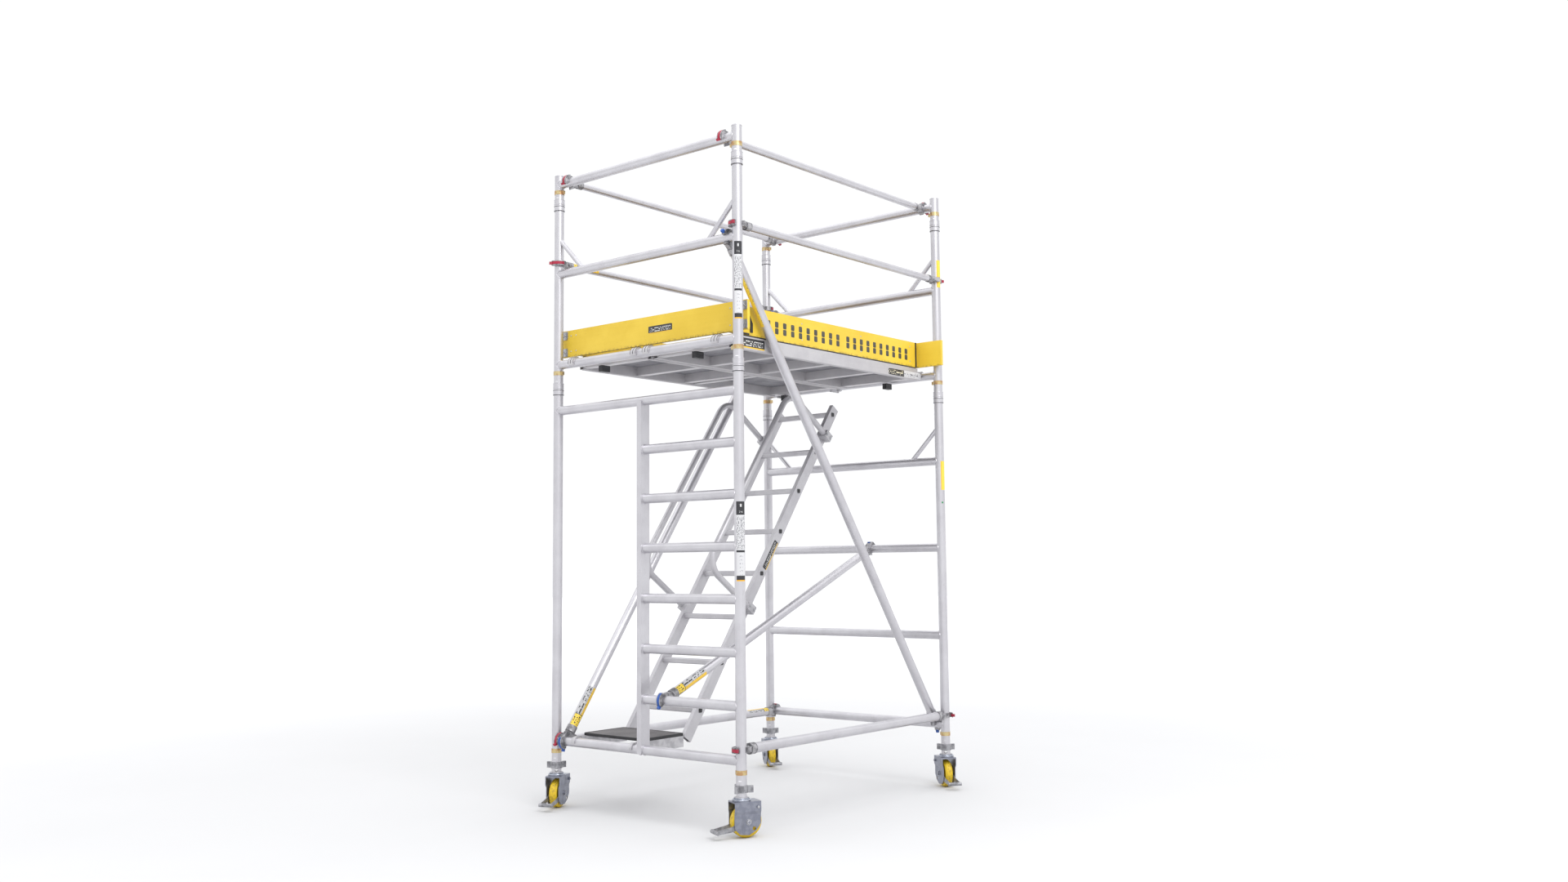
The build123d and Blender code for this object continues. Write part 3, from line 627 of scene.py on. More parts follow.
class Shell:
    """Closed surfaces gathered into one piece."""

    def __init__(self) -> None:
        """Start with nothing."""
        self.points: list[np.ndarray] = []
        self.maps: list[np.ndarray] = []
        self.faces: list[list[int]] = []
        self.count = 0

    def add(self, grid: np.ndarray, closed_path: bool = False, flip: bool = False,
            places: np.ndarray | None = None) -> None:
        """Add a closed profile carried along a path, with flat ends or joined up.

        The grid holds the point of profile place j at path place i. Neighbours in both directions
        make four-sided faces, the profile always joins up, and the first and last profile become
        end faces unless the path joins up too. U follows the path and V the profile.

        Args:
            grid: Points, path by profile by 3.
            closed_path: True if the last profile joins the first.
            flip: True to turn the faces round.
            places: UV of each point, or None for even steps.
        """
        rows, columns = grid.shape[:2]
        i, j = np.meshgrid(np.arange(rows if closed_path else rows - 1), np.arange(columns), indexing="ij")
        here, ahead, beside = i * columns, (i + 1) % rows * columns, (j + 1) % columns
        faces = np.stack([here + j, ahead + j, ahead + beside, here + beside], -1).reshape(-1, 4).tolist()
        if not closed_path:
            faces.append(list(range(columns)))
            faces.append(list(range(rows * columns - 1, (rows - 1) * columns - 1, -1)))
        if flip:
            faces = [face[::-1] for face in faces]
        self.faces += [[index + self.count for index in face] for face in faces]
        if places is None:
            u = np.repeat(np.linspace(0, 1, rows), columns)
            places = np.stack([u, np.tile(np.linspace(0, 1, columns), rows)], -1)
        self.points.append(grid.reshape(-1, 3))
        self.maps.append(places.reshape(-1, 2))
        self.count += rows * columns

    def piece(self, name: str, material: Finish, body: str, smooth: float = 40.0) -> None:
        """Make the mesh object and let it ride on a body.

        Args:
            name: Name of the piece.
            material: Its material.
            body: The CAD body it moves with.
            smooth: Faces that meet at less than this angle, in degrees, are shaded smoothly.
        """
        mesh = bpy.data.meshes.new(name)
        mesh.from_pydata(np.concatenate(self.points).tolist(), [], self.faces)
        corners = np.zeros(len(mesh.loops), np.int32)
        mesh.loops.foreach_get("vertex_index", corners)
        layer = mesh.uv_layers.new(name="Map")
        layer.data.foreach_set("uv", np.concatenate(self.maps)[corners].astype(np.float32).ravel())
        mesh.materials.append(material)
        mesh.shade_smooth()
        mesh.set_sharp_from_angle(angle=math.radians(smooth))
        made = bpy.data.objects.new(name, mesh)
        bpy.context.scene.collection.objects.link(made)
        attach(made, body)
        log.info("%s: %d faces on %s", name, len(mesh.polygons), body)


def basis(direction: np.ndarray, hint: np.ndarray) -> tuple[np.ndarray, np.ndarray, np.ndarray]:
    """Three square axes: the direction, the hint made square to it, and the axis square to both.

    Args:
        direction: Main axis.
        hint: Roughly the second axis.

    Returns:
        The unit axes.
    """
    along = np.asarray(direction, float) / np.linalg.norm(direction)
    second = np.asarray(hint, float) - along * np.dot(hint, along)
    second = second / np.linalg.norm(second)
    return along, second, np.cross(along, second)


def revolve(origin: np.ndarray, axis: np.ndarray, profile: np.ndarray, sides: int = 32) -> np.ndarray:
    """Turn a closed outline of (radius, height) pairs round an axis.

    A point is origin + height x axis + radius x (cos t x first + sin t x second), with t going once
    round in equal steps, so the grid joins up along its path.

    Args:
        origin: Point on the axis.
        axis: Direction of the axis.
        profile: Outline, any number by 2.
        sides: Steps round the axis.

    Returns:
        Grid of points, step by outline by 3.
    """
    along, first, second = basis(axis, (0, 0, 1) if abs(axis[2]) < 0.9 else (1, 0, 0))
    t = turns(sides)
    around = np.cos(t)[:, None] * first + np.sin(t)[:, None] * second
    radius, height = profile[:, 0], profile[:, 1]
    return np.asarray(origin) + radius[None, :, None] * around[:, None, :] + height[None, :, None] * along


def wrap(start: np.ndarray, direction: Triple, facing: Triple, radius: float, length: float,
         low: float, high: float, thick: float = 0.0004) -> tuple[np.ndarray, np.ndarray]:
    """A thin sheet wrapped on a tube.

    The profile goes over the outside from the low to the high angle and back on the inside:
    radius x (cos t x facing + sin t x side). It is carried straight along the tube.

    Args:
        start: Where the sheet starts on the tube's axis.
        direction: Along the tube.
        facing: Where the angle is zero.
        radius: Radius of the tube.
        length: Length of the sheet.
        low: Lowest angle in degrees.
        high: Highest angle in degrees.
        thick: Thickness of the sheet.

    Returns:
        Grid of points and its UV places.
    """
    along, first, second = basis(direction, facing)
    t, v = np.radians(np.linspace(low, high, 15)), np.linspace(0, 1, 15)
    angle = np.concatenate([t, t[::-1]])
    reach = np.concatenate([np.full(15, radius + thick), np.full(15, radius + 0.00005)])
    ring = reach[:, None] * (np.cos(angle)[:, None] * first + np.sin(angle)[:, None] * second)
    steps = np.linspace(0, 1, 5)
    grid = np.asarray(start) + ring[None] + (steps * length)[:, None, None] * along
    return grid, np.stack(np.broadcast_arrays(steps[:, None], np.concatenate([v, v[::-1]])[None]), -1)


def slab(centre: np.ndarray, across: Triple, up: Triple, width: float, height: float, thick: float,
         corner: float) -> tuple[np.ndarray, np.ndarray]:
    """A flat plate with rounded corners and a small chamfer round its face.

    The outline is a superellipse: each half size times the signed power of the cosine or sine, with
    the power set so that the corners keep the given roundness. Three layers run from the back to the
    chamfer and to the face.

    Args:
        centre: Middle of the back.
        across: Direction of the width.
        up: Direction of the height.
        width: Size across.
        height: Size up.
        thick: Thickness, towards across x up.
        corner: Share of roundness, from 0.1 for square to 1 for an ellipse.

    Returns:
        Grid of points and its UV places.
    """
    first, second, out = basis(across, up)
    ring = np.stack(rounded(turns(40, np.pi / 40), corner), -1)
    layers = np.array([[1.0, 0.0], [1.0, 0.6], [0.985, 1.0]])
    flat = layers[:, :1, None] * ring[None]
    grid = (np.asarray(centre) + flat[..., :1] * width / 2 * first + flat[..., 1:] * height / 2 * second
            + layers[:, 1][:, None, None] * thick * out)
    return grid, flat / 2 + 0.5


def ribbed(start: np.ndarray, along: Triple, across: Triple, length: float, width: float, ribs: int,
           height: float, base: float) -> np.ndarray:
    """A strip with rounded ribs on one face.

    Its section is base + height x the square of the sine of ribs x pi x s over the width s from 0 to
    1, closed by a flat back, and it is carried straight along.

    Args:
        start: Corner of the back.
        along: Direction of the ribs.
        across: Direction across them.
        length: Length of the strip.
        width: Width of the strip.
        ribs: Number of ribs.
        height: Height of a rib.
        base: Thickness under the ribs.

    Returns:
        Grid of points.
    """
    first, second, out = basis(along, across)
    s = np.linspace(0, 1, ribs * 6 + 1)
    top = base + height * np.sin(ribs * np.pi * s) ** 2
    place, lift = np.concatenate([s, s[::-1]]), np.concatenate([top, np.zeros_like(s)])
    ring = place[:, None] * width * second + lift[:, None] * out
    return np.asarray(start) + ring[None] + np.linspace(0, length, 2)[:, None, None] * first


def bead(path: np.ndarray, radius: float, closed: bool = True, ripples: int = 0) -> np.ndarray:
    """A round bead along a path.

    At each place the profile is a circle square to the path, whose radius swells by a tenth with the
    given number of ripples along the path, as a weld does.

    Args:
        path: Points, any number by 3.
        radius: Radius of the bead.
        closed: True if the path joins up.
        ripples: Number of swellings.

    Returns:
        Grid of points.
    """
    ahead = np.roll(path, -1, 0) - np.roll(path, 1, 0)
    if not closed:
        ahead[0], ahead[-1] = path[1] - path[0], path[-1] - path[-2]
    ahead = ahead / np.linalg.norm(ahead, axis=1)[:, None]
    away = path - path.mean(0)
    away = away - ahead * np.sum(away * ahead, 1)[:, None]
    away = away / np.linalg.norm(away, axis=1)[:, None]
    side = np.cross(ahead, away)
    t = turns(8)
    swell = radius * (1 + 0.1 * np.sin(np.linspace(0, 2 * np.pi * ripples, len(path))))
    ring = np.cos(t)[None, :, None] * away[:, None, :] + np.sin(t)[None, :, None] * side[:, None, :]
    return path[:, None, :] + swell[:, None, None] * ring


def circle(radius: float, centre: np.ndarray, steps: int) -> np.ndarray:
    """Points of a level circle."""
    t = turns(steps)
    return np.stack([np.cos(t), np.sin(t), np.zeros(steps)], -1) * radius + centre


def dome(radius: float, height: float) -> np.ndarray:
    """Outline of a low rivet head: height x the square root of 1 - (r / radius) squared, closed below.

    Args:
        radius: Radius of the head.
        height: Height of its middle.

    Returns:
        Outline of (radius, height) pairs.
    """
    r = radius * np.sin(np.linspace(0.02, np.pi / 2, 5))
    top = height * np.sqrt(np.maximum(0, 1 - (r / radius) ** 2))
    return np.concatenate([np.stack([r, top], -1), [[radius, -0.0005], [0.02 * radius, -0.0005]]])


# ---------------------------------------------------------------- the tower
@dataclass(frozen=True)
class Tower:
    """Main lines of the scaffold in metres; places are given from the middle of the posts.

    Attributes:
        middle: Middle of the four posts on the ground, read from the frame.
        half_bay: Half the distance between the end frames.
        half_width: Half the distance between the posts of an end frame.
        base: Height of the bottom tubes.
        pitch: Distance between rungs.
        post: Radius of the posts.
        tube: Radius of the cross tubes.
        brace: Radius of the thick braces.
        deck_top: Height of the deck.
        toe_bottom: Height of the toe boards' lower edge.
        end_board: Outer face of the end toe boards.
        side_board: Outer face of the side toe boards.
        deck_outer: Outer face of the deck's side beams.
        near_diagonal: Y of the near diagonal.
        far_diagonal: Y of the far diagonal.
        inner_diagonal: Y of the inner diagonal.
        far_level: Y of the far bottom brace.
        stair_near: Outer face of the near stringer.
        joints: Heights of the post joints.
    """

    middle: Vector
    half_bay: float
    half_width: float = 0.65
    base: float = 0.35
    pitch: float = 0.25
    post: float = 0.0254
    tube: float = 0.024
    brace: float = 0.02415
    deck_top: float = 2.39
    toe_bottom: float = 2.398
    end_board: float = 0.8335
    side_board: float = 0.55
    deck_outer: float = 0.556
    near_diagonal: float = -0.588
    far_diagonal: float = 0.582
    inner_diagonal: float = -0.145
    far_level: float = 0.61
    stair_near: float = 0.057
    joints: tuple[float, float] = (2.22, 3.235)

    @classmethod
    def read(cls) -> "Tower":
        """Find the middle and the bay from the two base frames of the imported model."""
        near_low, near_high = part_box("base_frame_ladder")
        far_low, far_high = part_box("base_frame_plain")
        left, right = (near_low.x + near_high.x) / 2, (far_low.x + far_high.x) / 2
        return cls(Vector(((left + right) / 2, (near_low.y + near_high.y) / 2, 0)), (right - left) / 2)

    def at(self, x: float, y: float, z: float) -> np.ndarray:
        """A point given from the middle of the posts."""
        return np.array([self.middle.x + x, self.middle.y + y, z])

    def posts(self) -> dict[str, tuple[float, float]]:
        """The four posts by letter, from the middle."""
        x, y = self.half_bay, self.half_width
        return {"a": (-x, y), "b": (-x, -y), "c": (x, -y), "d": (x, y)}

    def slope(self, rise: float) -> Triple:
        """Direction of a diagonal that rises by so much over the bay."""
        angle = math.atan2(rise, 2 * self.half_bay)
        return math.cos(angle), 0, math.sin(angle)


TOWER = Tower.read()


@dataclass(frozen=True)
class Stock:
    """Finishes that the trim shares."""

    metal: Finish
    cast: Finish
    steel: Finish
    rubber: Finish
    beam: Finish


@dataclass
class Welds:
    """Weld beads where cross tubes meet posts and where rungs meet the ladder's middle post.

    Attributes:
        size: Radius of a bead.
        face: Half thickness of the middle post.
        lift: How far a bead stands off the tube.
    """

    size: float = 0.0028
    face: float = 0.015
    lift: float = 0.0006

    def coped(self, x: float, z: float, side: int) -> np.ndarray:
        """Bead on the line where a tube runs into a round post.

        At angle t round the tube the line is at x = r cos t, z = r sin t, and as far from the post's
        axis as the square root of R squared - x squared.

        Args:
            x: Place of the end frame.
            z: Height of the tube.
            side: -1 for the near post, 1 for the far one.

        Returns:
            Grid of points.
        """
        t, r = turns(48), TOWER.tube + self.lift
        across, up = r * np.cos(t), r * np.sin(t)
        inward = np.sqrt(TOWER.post ** 2 - np.minimum(across ** 2, TOWER.post ** 2)) + 0.0004
        path = np.stack([across, side * (TOWER.half_width - inward), up], -1) + TOWER.at(x, 0, z)
        return bead(path, self.size, ripples=14)

    def flat(self, x: float, y: float, z: float) -> np.ndarray:
        """Bead round a tube that ends on a flat face square to Y.

        Args:
            x: Place of the end frame.
            y: Place of the flat face.
            z: Height of the tube.

        Returns:
            Grid of points.
        """
        t, r = turns(40), TOWER.tube + self.lift
        path = np.stack([r * np.cos(t), np.zeros(40), r * np.sin(t)], -1) + TOWER.at(x, y, z)
        return bead(path, self.size, ripples=12)

    def build(self, stock: Stock) -> None:
        """Make one piece for each end frame."""
        x, step = TOWER.half_bay, TOWER.pitch
        upper = [TOWER.base + count * step for count in (8, 10, 12)]
        ladder, plain = Shell(), Shell()
        for z in [TOWER.base + i * step for i in range(7)]:
            ladder.add(self.coped(-x, z, -1), True)
            ladder.add(self.flat(-x, -self.face, z), True)
        ladder.add(self.coped(-x, TOWER.base, 1), True)
        ladder.add(self.flat(-x, self.face, TOWER.base), True)
        crossing = [(ladder, -x, TOWER.base + 7 * step)] + [(ladder, -x, z) for z in upper]
        crossing += [(plain, x, TOWER.base + i * 2 * step) for i in range(4)]
        crossing += [(plain, x, z) for z in upper]
        for shell, place, z in crossing:
            for side in (-1, 1):
                shell.add(self.coped(place, z, side), True)
        ladder.piece("weld_beads_ladder_end", stock.metal, "tower")
        plain.piece("weld_beads_plain_end", stock.metal, "tower")


@dataclass
class Labels:
    """Printed labels on the posts, braces, stair, beams and toe board."""

    prints: dict[Print, Finish] = field(default_factory=dict)

    def stick(self, name: str, layout: Print, sheet: tuple[np.ndarray, np.ndarray], flip: bool) -> None:
        """Make one label from its sheet; each layout's material is made once.

        Args:
            name: Name of the piece.
            layout: What it shows.
            sheet: Grid of points and its UV places.
            flip: True to turn the faces round.
        """
        if layout not in self.prints:
            self.prints[layout] = Sticker(f"label_{layout.value}", layout).material()
        shell = Shell()
        shell.add(sheet[0], flip=flip, places=sheet[1])
        shell.piece(name, self.prints[layout], "tower", 60.0)

    def on_posts(self) -> None:
        """Labels on posts B and C: name, layout, post, top, length, facing and angles."""
        near, front, posts = (-0.75, -0.66, 0), (0, -1, 0), TOWER.posts()
        rows = [("b_upper", Print.POST, "b", 2.819, 0.379, near, (-52, 39)),
                ("b_lower", Print.POST, "b", 1.562, 0.377, near, (-68, 37)),
                ("c_upper", Print.STRIPE, "c", 3.026, 0.161, front, (-50, 45)),
                ("c_lower", Print.STRIPE, "c", 1.847, 0.166, front, (-50, 45)),
                ("c_dot", Print.DOT, "c", 1.613, 0.01, (-0.5, -0.85, 0), (-11, 11))]
        for name, layout, letter, top, length, facing, angles in rows:
            start = TOWER.at(*posts[letter], top)
            sheet = wrap(start, (0, 0, -1), facing, TOWER.post, length, *angles)
            self.stick(f"label_post_{name}", layout, sheet, True)

    def on_braces(self) -> None:
        """Labels on braces: name, layout, end, way along, facing, radius, shift, length and angles."""
        x, base, steep, gentle = TOWER.half_bay, TOWER.base, TOWER.slope(2.5), TOWER.slope(0.75)
        falling = (steep[0], 0, -steep[2])
        rows = [("diagonal_far_low", Print.BRACE, (-x, TOWER.far_diagonal, base), steep, (-0.66, -0.75, 0.0),
                 TOWER.brace, 0.085, 0.235, (-50, 78)),
                ("diagonal_near_high", Print.STRIPE, (-x, TOWER.near_diagonal, base + 2.5), falling,
                 (-0.7, -0.5, -0.5), TOWER.brace, 0.21, 0.27, (5, 60)),
                ("diagonal_inner_low", Print.BRACE, (-x, TOWER.inner_diagonal, base + TOWER.pitch), gentle,
                 (-0.3, -0.9, 0.3), TOWER.brace, 0.068, 0.24, (-55, 62)),
                ("guard_far", Print.BRACE, (-x, TOWER.half_width, base + 2.56), (1, 0, 0), (0, -0.7, 0.4),
                 0.019, 0.075, 0.2, (-60, 60)),
                ("level_far", Print.BRACE, (x, TOWER.far_level, base), (-1, 0, 0), (0, -0.5, 0.8),
                 TOWER.brace, 0.07, 0.2, (-40, 40))]
        for name, layout, end, way, facing, radius, shift, length, angles in rows:
            start = TOWER.at(*end) + shift * np.array(way)
            self.stick(f"label_{name}", layout, wrap(start, way, facing, radius, length, *angles), True)

    def on_faces(self) -> None:
        """Flat labels: name, layout, middle, way along, way up, width and height."""
        along, upright, beam = (0.5802, 0, 0.8145), (0, 0, 1), -TOWER.deck_outer
        rows = [("stringer", Print.PLATE, (0.188, TOWER.stair_near, 1.317), along, (-along[2], 0, along[0]),
                 0.19, 0.036),
                ("beam_ladder_end", Print.PLATE, (-0.668, beam, 2.357), (1, 0, 0), upright, 0.195, 0.05),
                ("beam_plain_end", Print.BEAM, (0.677, beam, 2.347), (1, 0, 0), upright, 0.325, 0.036),
                ("toe_board", Print.PLATE, (-TOWER.end_board, -0.08, 2.47), (0, -1, 0), upright, 0.17, 0.04)]
        for name, layout, middle, across, up, width, height in rows:
            sheet = slab(TOWER.at(*middle), across, up, width, height, 0.0006, 0.12)
            self.stick(f"label_{name}", layout, sheet, False)

    def build(self, _: Stock) -> None:
        """Place every label."""
        self.on_posts()
        self.on_braces()
        self.on_faces()


@dataclass
class PlatformTrim:
    """Rivets, corner plates, stencil, rubber seal, beam flutes, screws and hook seams of the platform.

    Attributes:
        beam: Width of a deck beam.
        deck_half: Half length of the deck.
        plain_shift: How far the plain-end board sits towards the near side.
        hook: Radius of a deck hook.
        rail: Height of the tubes that carry the deck.
    """

    beam: float = 0.028
    deck_half: float = 0.8075
    plain_shift: float = -0.043
    hook: float = 0.0315
    rail: float = 2.35

    def rivets(self, steel: Finish) -> None:
        """Low domed rivets on the toe boards' outer faces."""
        shell, head = Shell(), dome(0.0042, 0.0022)
        heights = (TOWER.toe_bottom + 0.03, TOWER.toe_bottom + 0.115)
        for side, shift in ((-1, 0.0), (1, self.plain_shift)):
            for y in (-0.6, -0.56, 0.56, 0.6):
                for z in heights:
                    spot = TOWER.at(side * TOWER.end_board, y + shift, z)
                    shell.add(revolve(spot, (side, 0, 0), head, 10), True)
        for side in (-1, 1):
            for x in (-0.77, -0.26, 0.26, 0.74):
                for z in heights:
                    spot = TOWER.at(x, side * TOWER.side_board, z)
                    shell.add(revolve(spot, (0, side, 0), head, 10), True)
        shell.piece("toe_board_rivets", steel, "tower")

    def corners(self, steel: Finish) -> None:
        """Bright corner plates on the ladder-end toe board, each with one large rivet."""
        shell, head, thick = Shell(), dome(0.007, 0.003), 0.0026
        for side in (-1, 1):
            for z in (TOWER.toe_bottom + 0.024, TOWER.toe_bottom + 0.121):
                spot = TOWER.at(-TOWER.end_board, side * 0.6485, z)
                grid, places = slab(spot, (0, -1, 0), (0, 0, 1), 0.047, 0.04, thick, 0.14)
                shell.add(grid, places=places)
                shell.add(revolve(spot + np.array([-thick, 0, 0]), (-1, 0, 0), head, 16), True)
        shell.piece("corner_plates", steel, "tower")

    def stencil(self) -> None:
        """Two groups of plain painted blocks on the near side board, split across like a stencil."""
        ink = Moulded("stencil_ink", paint(74, 72, 66), paint(150, 138, 92), 0.6).material()
        shell = Shell()
        for x in [*np.linspace(-0.53, 0.05, 10), *np.linspace(0.14, 0.7, 10)]:
            for z in (2.447, 2.481):
                spot = TOWER.at(x, -TOWER.side_board, z)
                grid, places = slab(spot, (1, 0, 0), (0, 0, 1), 0.028, 0.031, 0.0002, 0.35)
                shell.add(grid, places=places)
        shell.piece("board_stencil", ink, "tower")

    def seal(self, rubber: Finish) -> None:
        """Black lipped strip between the side toe boards and the deck."""
        lip = np.array([[0, 0], [0.02, 0], [0.0225, 0.002], [0.0225, 0.006], [0.02, 0.008], [0.002, 0.008],
                        [0, 0.006]])
        places = np.array([-0.79, -0.4, 0.0, 0.4, 0.79])
        for side, name in ((-1, "near"), (1, "far")):
            outline = np.stack([np.zeros(7), side * (0.5312 + lip[:, 0]), TOWER.deck_top + lip[:, 1]], -1)
            grid = TOWER.at(0, 0, 0) + outline[None] + places[:, None, None] * np.array([1.0, 0, 0])
            shell = Shell()
            shell.add(grid, flip=side > 0)
            shell.piece(f"toe_board_seal_{name}", rubber, "tower")

    def flutes(self, metal: Finish) -> None:
        """Ribs along the lower flanges of the four side beams."""
        shell, length = Shell(), 2 * self.deck_half - 0.024
        for y in (-TOWER.deck_outer, -0.008 - self.beam, 0.008, TOWER.deck_outer - self.beam):
            start = TOWER.at(-self.deck_half + 0.012, y + self.beam - 0.001, TOWER.deck_top - 0.065)
            shell.add(ribbed(start, (1, 0, 0), (0, -1, 0), length, self.beam - 0.002, 4, 0.002, 0.0004))
        shell.piece("beam_flutes", metal, "tower", 70.0)

    def seams(self, dark: Finish) -> None:
        """Dark joint lines round the middle and the edges of each deck hook."""
        shell, t = Shell(), np.linspace(np.radians(-10), np.radians(190), 30)
        ring = np.stack([self.hook * np.cos(t), np.zeros(30), self.hook * np.sin(t)], -1)
        for end in (-1, 1):
            for y in (-0.52, -0.044, 0.044, 0.52):
                for shift, size in ((-0.0191, 0.0009), (0.0, 0.0013), (0.0191, 0.0009)):
                    path = ring + TOWER.at(end * TOWER.half_bay, y + shift, self.rail)
                    shell.add(bead(path, size, closed=False))
        shell.piece("hook_seams", dark, "tower")

    def screws(self, steel: Finish) -> None:
        """Countersunk screw heads along the edges of the deck boards, none on the trapdoor."""
        shell, head = Shell(), dome(0.005, 0.0012)
        for y in (-0.512, -0.022, 0.022, 0.512):
            for x in np.linspace(-0.74, 0.74, 9):
                if y < 0.5 or not 0.1 < x < 0.77:
                    shell.add(revolve(TOWER.at(x, y, TOWER.deck_top), (0, 0, 1), head, 10), True)
        shell.piece("deck_screws", steel, "tower")

    def build(self, stock: Stock) -> None:
        """Make every piece of platform trim."""
        self.rivets(stock.steel)
        self.corners(stock.steel)
        self.stencil()
        self.seal(stock.rubber)
        self.flutes(stock.beam)
        self.seams(stock.rubber)
        self.screws(stock.steel)


@dataclass
class StairTrim:
    """Ribbed treads, plug rims, foot plate cover and clamp bolts of the stair.

    Attributes:
        width: Width over the stringers.
        wall: Thickness of a stringer.
        first: X and Z of the first tread.
        step: Run and rise between treads.
        plate: Low and high corner of the foot plate, from the middle, and its top.
    """

    width: float = 0.448
    wall: float = 0.025
    first: tuple[float, float] = (-0.4005, 0.498)
    step: tuple[float, float] = (0.17, 0.2386)
    plate: tuple[float, ...] = (-TOWER.half_bay + 0.062, -0.5305, 0.059, 0.503, 0.392)

    def treads(self) -> list[tuple[float, float]]:
        """X and Z of each tread's middle."""
        return [(self.first[0] + i * self.step[0], self.first[1] + i * self.step[1]) for i in range(8)]

    def grips(self, metal: Finish) -> None:
        """Grip ribs on top of each tread."""
        shell, length = Shell(), self.width - 2 * self.wall - 0.004
        for x, z in self.treads():
            start = TOWER.at(x + 0.013, TOWER.stair_near + self.wall + 0.002, z + 0.0139)
            shell.add(ribbed(start, (0, 1, 0), (-1, 0, 0), length, 0.026, 5, 0.0016, 0.0003))
        shell.piece("tread_grips", metal, "tower", 70.0)

    def rims(self, steel: Finish) -> None:
        """Bright swaged rim round every tread plug."""
        shell = Shell()
        across, up = rounded(turns(28), 0.45)
        ring = np.stack([0.0142 * across, np.zeros(28), 0.0131 * up], -1)
        for x, z in self.treads():
            for y in (TOWER.stair_near - 0.0004, TOWER.stair_near + self.width + 0.0004):
                shell.add(bead(ring + TOWER.at(x, y, z), 0.0013), True)
        shell.piece("plug_rims", steel, "tower")

    def foot_plate(self, rubber: Finish) -> None:
        """Ribbed cover on the first step and the black lipped strip round its edge."""
        tread = Aluminium("foot_tread", paint(118, 115, 116), paint(92, 90, 92), Grain.ALONG_X,
                          rough=0.55, metal=0.3).material()
        x0, x1, y0, y1, top = self.plate
        cover, edge = Shell(), Shell()
        start = TOWER.at(x0 + 0.003, y0 + 0.003, top)
        cover.add(ribbed(start, (1, 0, 0), (0, 1, 0), x1 - x0 - 0.006, y1 - y0 - 0.006, 36, 0.0013, 0.0003))
        cover.piece("foot_plate_cover", tread, "tower", 70.0)
        across, along = rounded(turns(48, np.pi / 48), 0.06)
        ring = np.stack([(x1 - x0 + 0.003) / 2 * across, (y1 - y0 + 0.003) / 2 * along, np.zeros(48)], -1)
        path = ring + TOWER.at((x0 + x1) / 2, (y0 + y1) / 2, 0)
        lean = ring / np.abs(ring).max(0).clip(1e-9)
        outline = np.array([[0.0, 0.379], [0.0022, 0.379], [0.0022, 0.3925], [0.0, 0.394], [-0.004, 0.394],
                            [-0.004, 0.3925]])
        outward, upward = outline[None, :, :1], outline[None, :, 1:]
        edge.add(path[:, None, :] + outward * lean[:, None, :] + upward * np.array([0, 0, 1.0]), True)
        edge.piece("foot_plate_edge", rubber, "tower", 50.0)

    def bolts(self, steel: Finish) -> None:
        """Hexagon bolt heads on the outer faces of the handrail clamps."""
        shell = Shell()
        head = np.array([[0.0002, 0.0], [0.007, 0.0], [0.007, 0.0038], [0.0062, 0.0046], [0.0002, 0.0046]])
        washer = np.array([[0.0002, -0.0004], [0.0095, -0.0004], [0.0095, 0.0012], [0.0002, 0.0012]])
        length = math.hypot(*self.step)
        run, climb = self.step[0] / length, self.step[1] / length
        for face, out in ((TOWER.stair_near, -1), (TOWER.stair_near + self.width, 1)):
            for x in (-0.026, 0.69):
                z = self.first[1] + (x - self.first[0]) * self.step[1] / self.step[0]
                for away in (-0.02, 0.02):
                    spot = TOWER.at(x - climb * away, face + out * 0.046, z + run * away)
                    shell.add(revolve(spot, (0, out, 0), washer, 20), True)
                    shell.add(revolve(spot, (0, out, 0), head, 6), True)
        shell.piece("clamp_bolts", steel, "tower", 30.0)

    def build(self, stock: Stock) -> None:
        """Make every piece of stair trim."""
        self.grips(stock.metal)
        self.rims(stock.steel)
        self.foot_plate(stock.rubber)
        self.bolts(stock.steel)


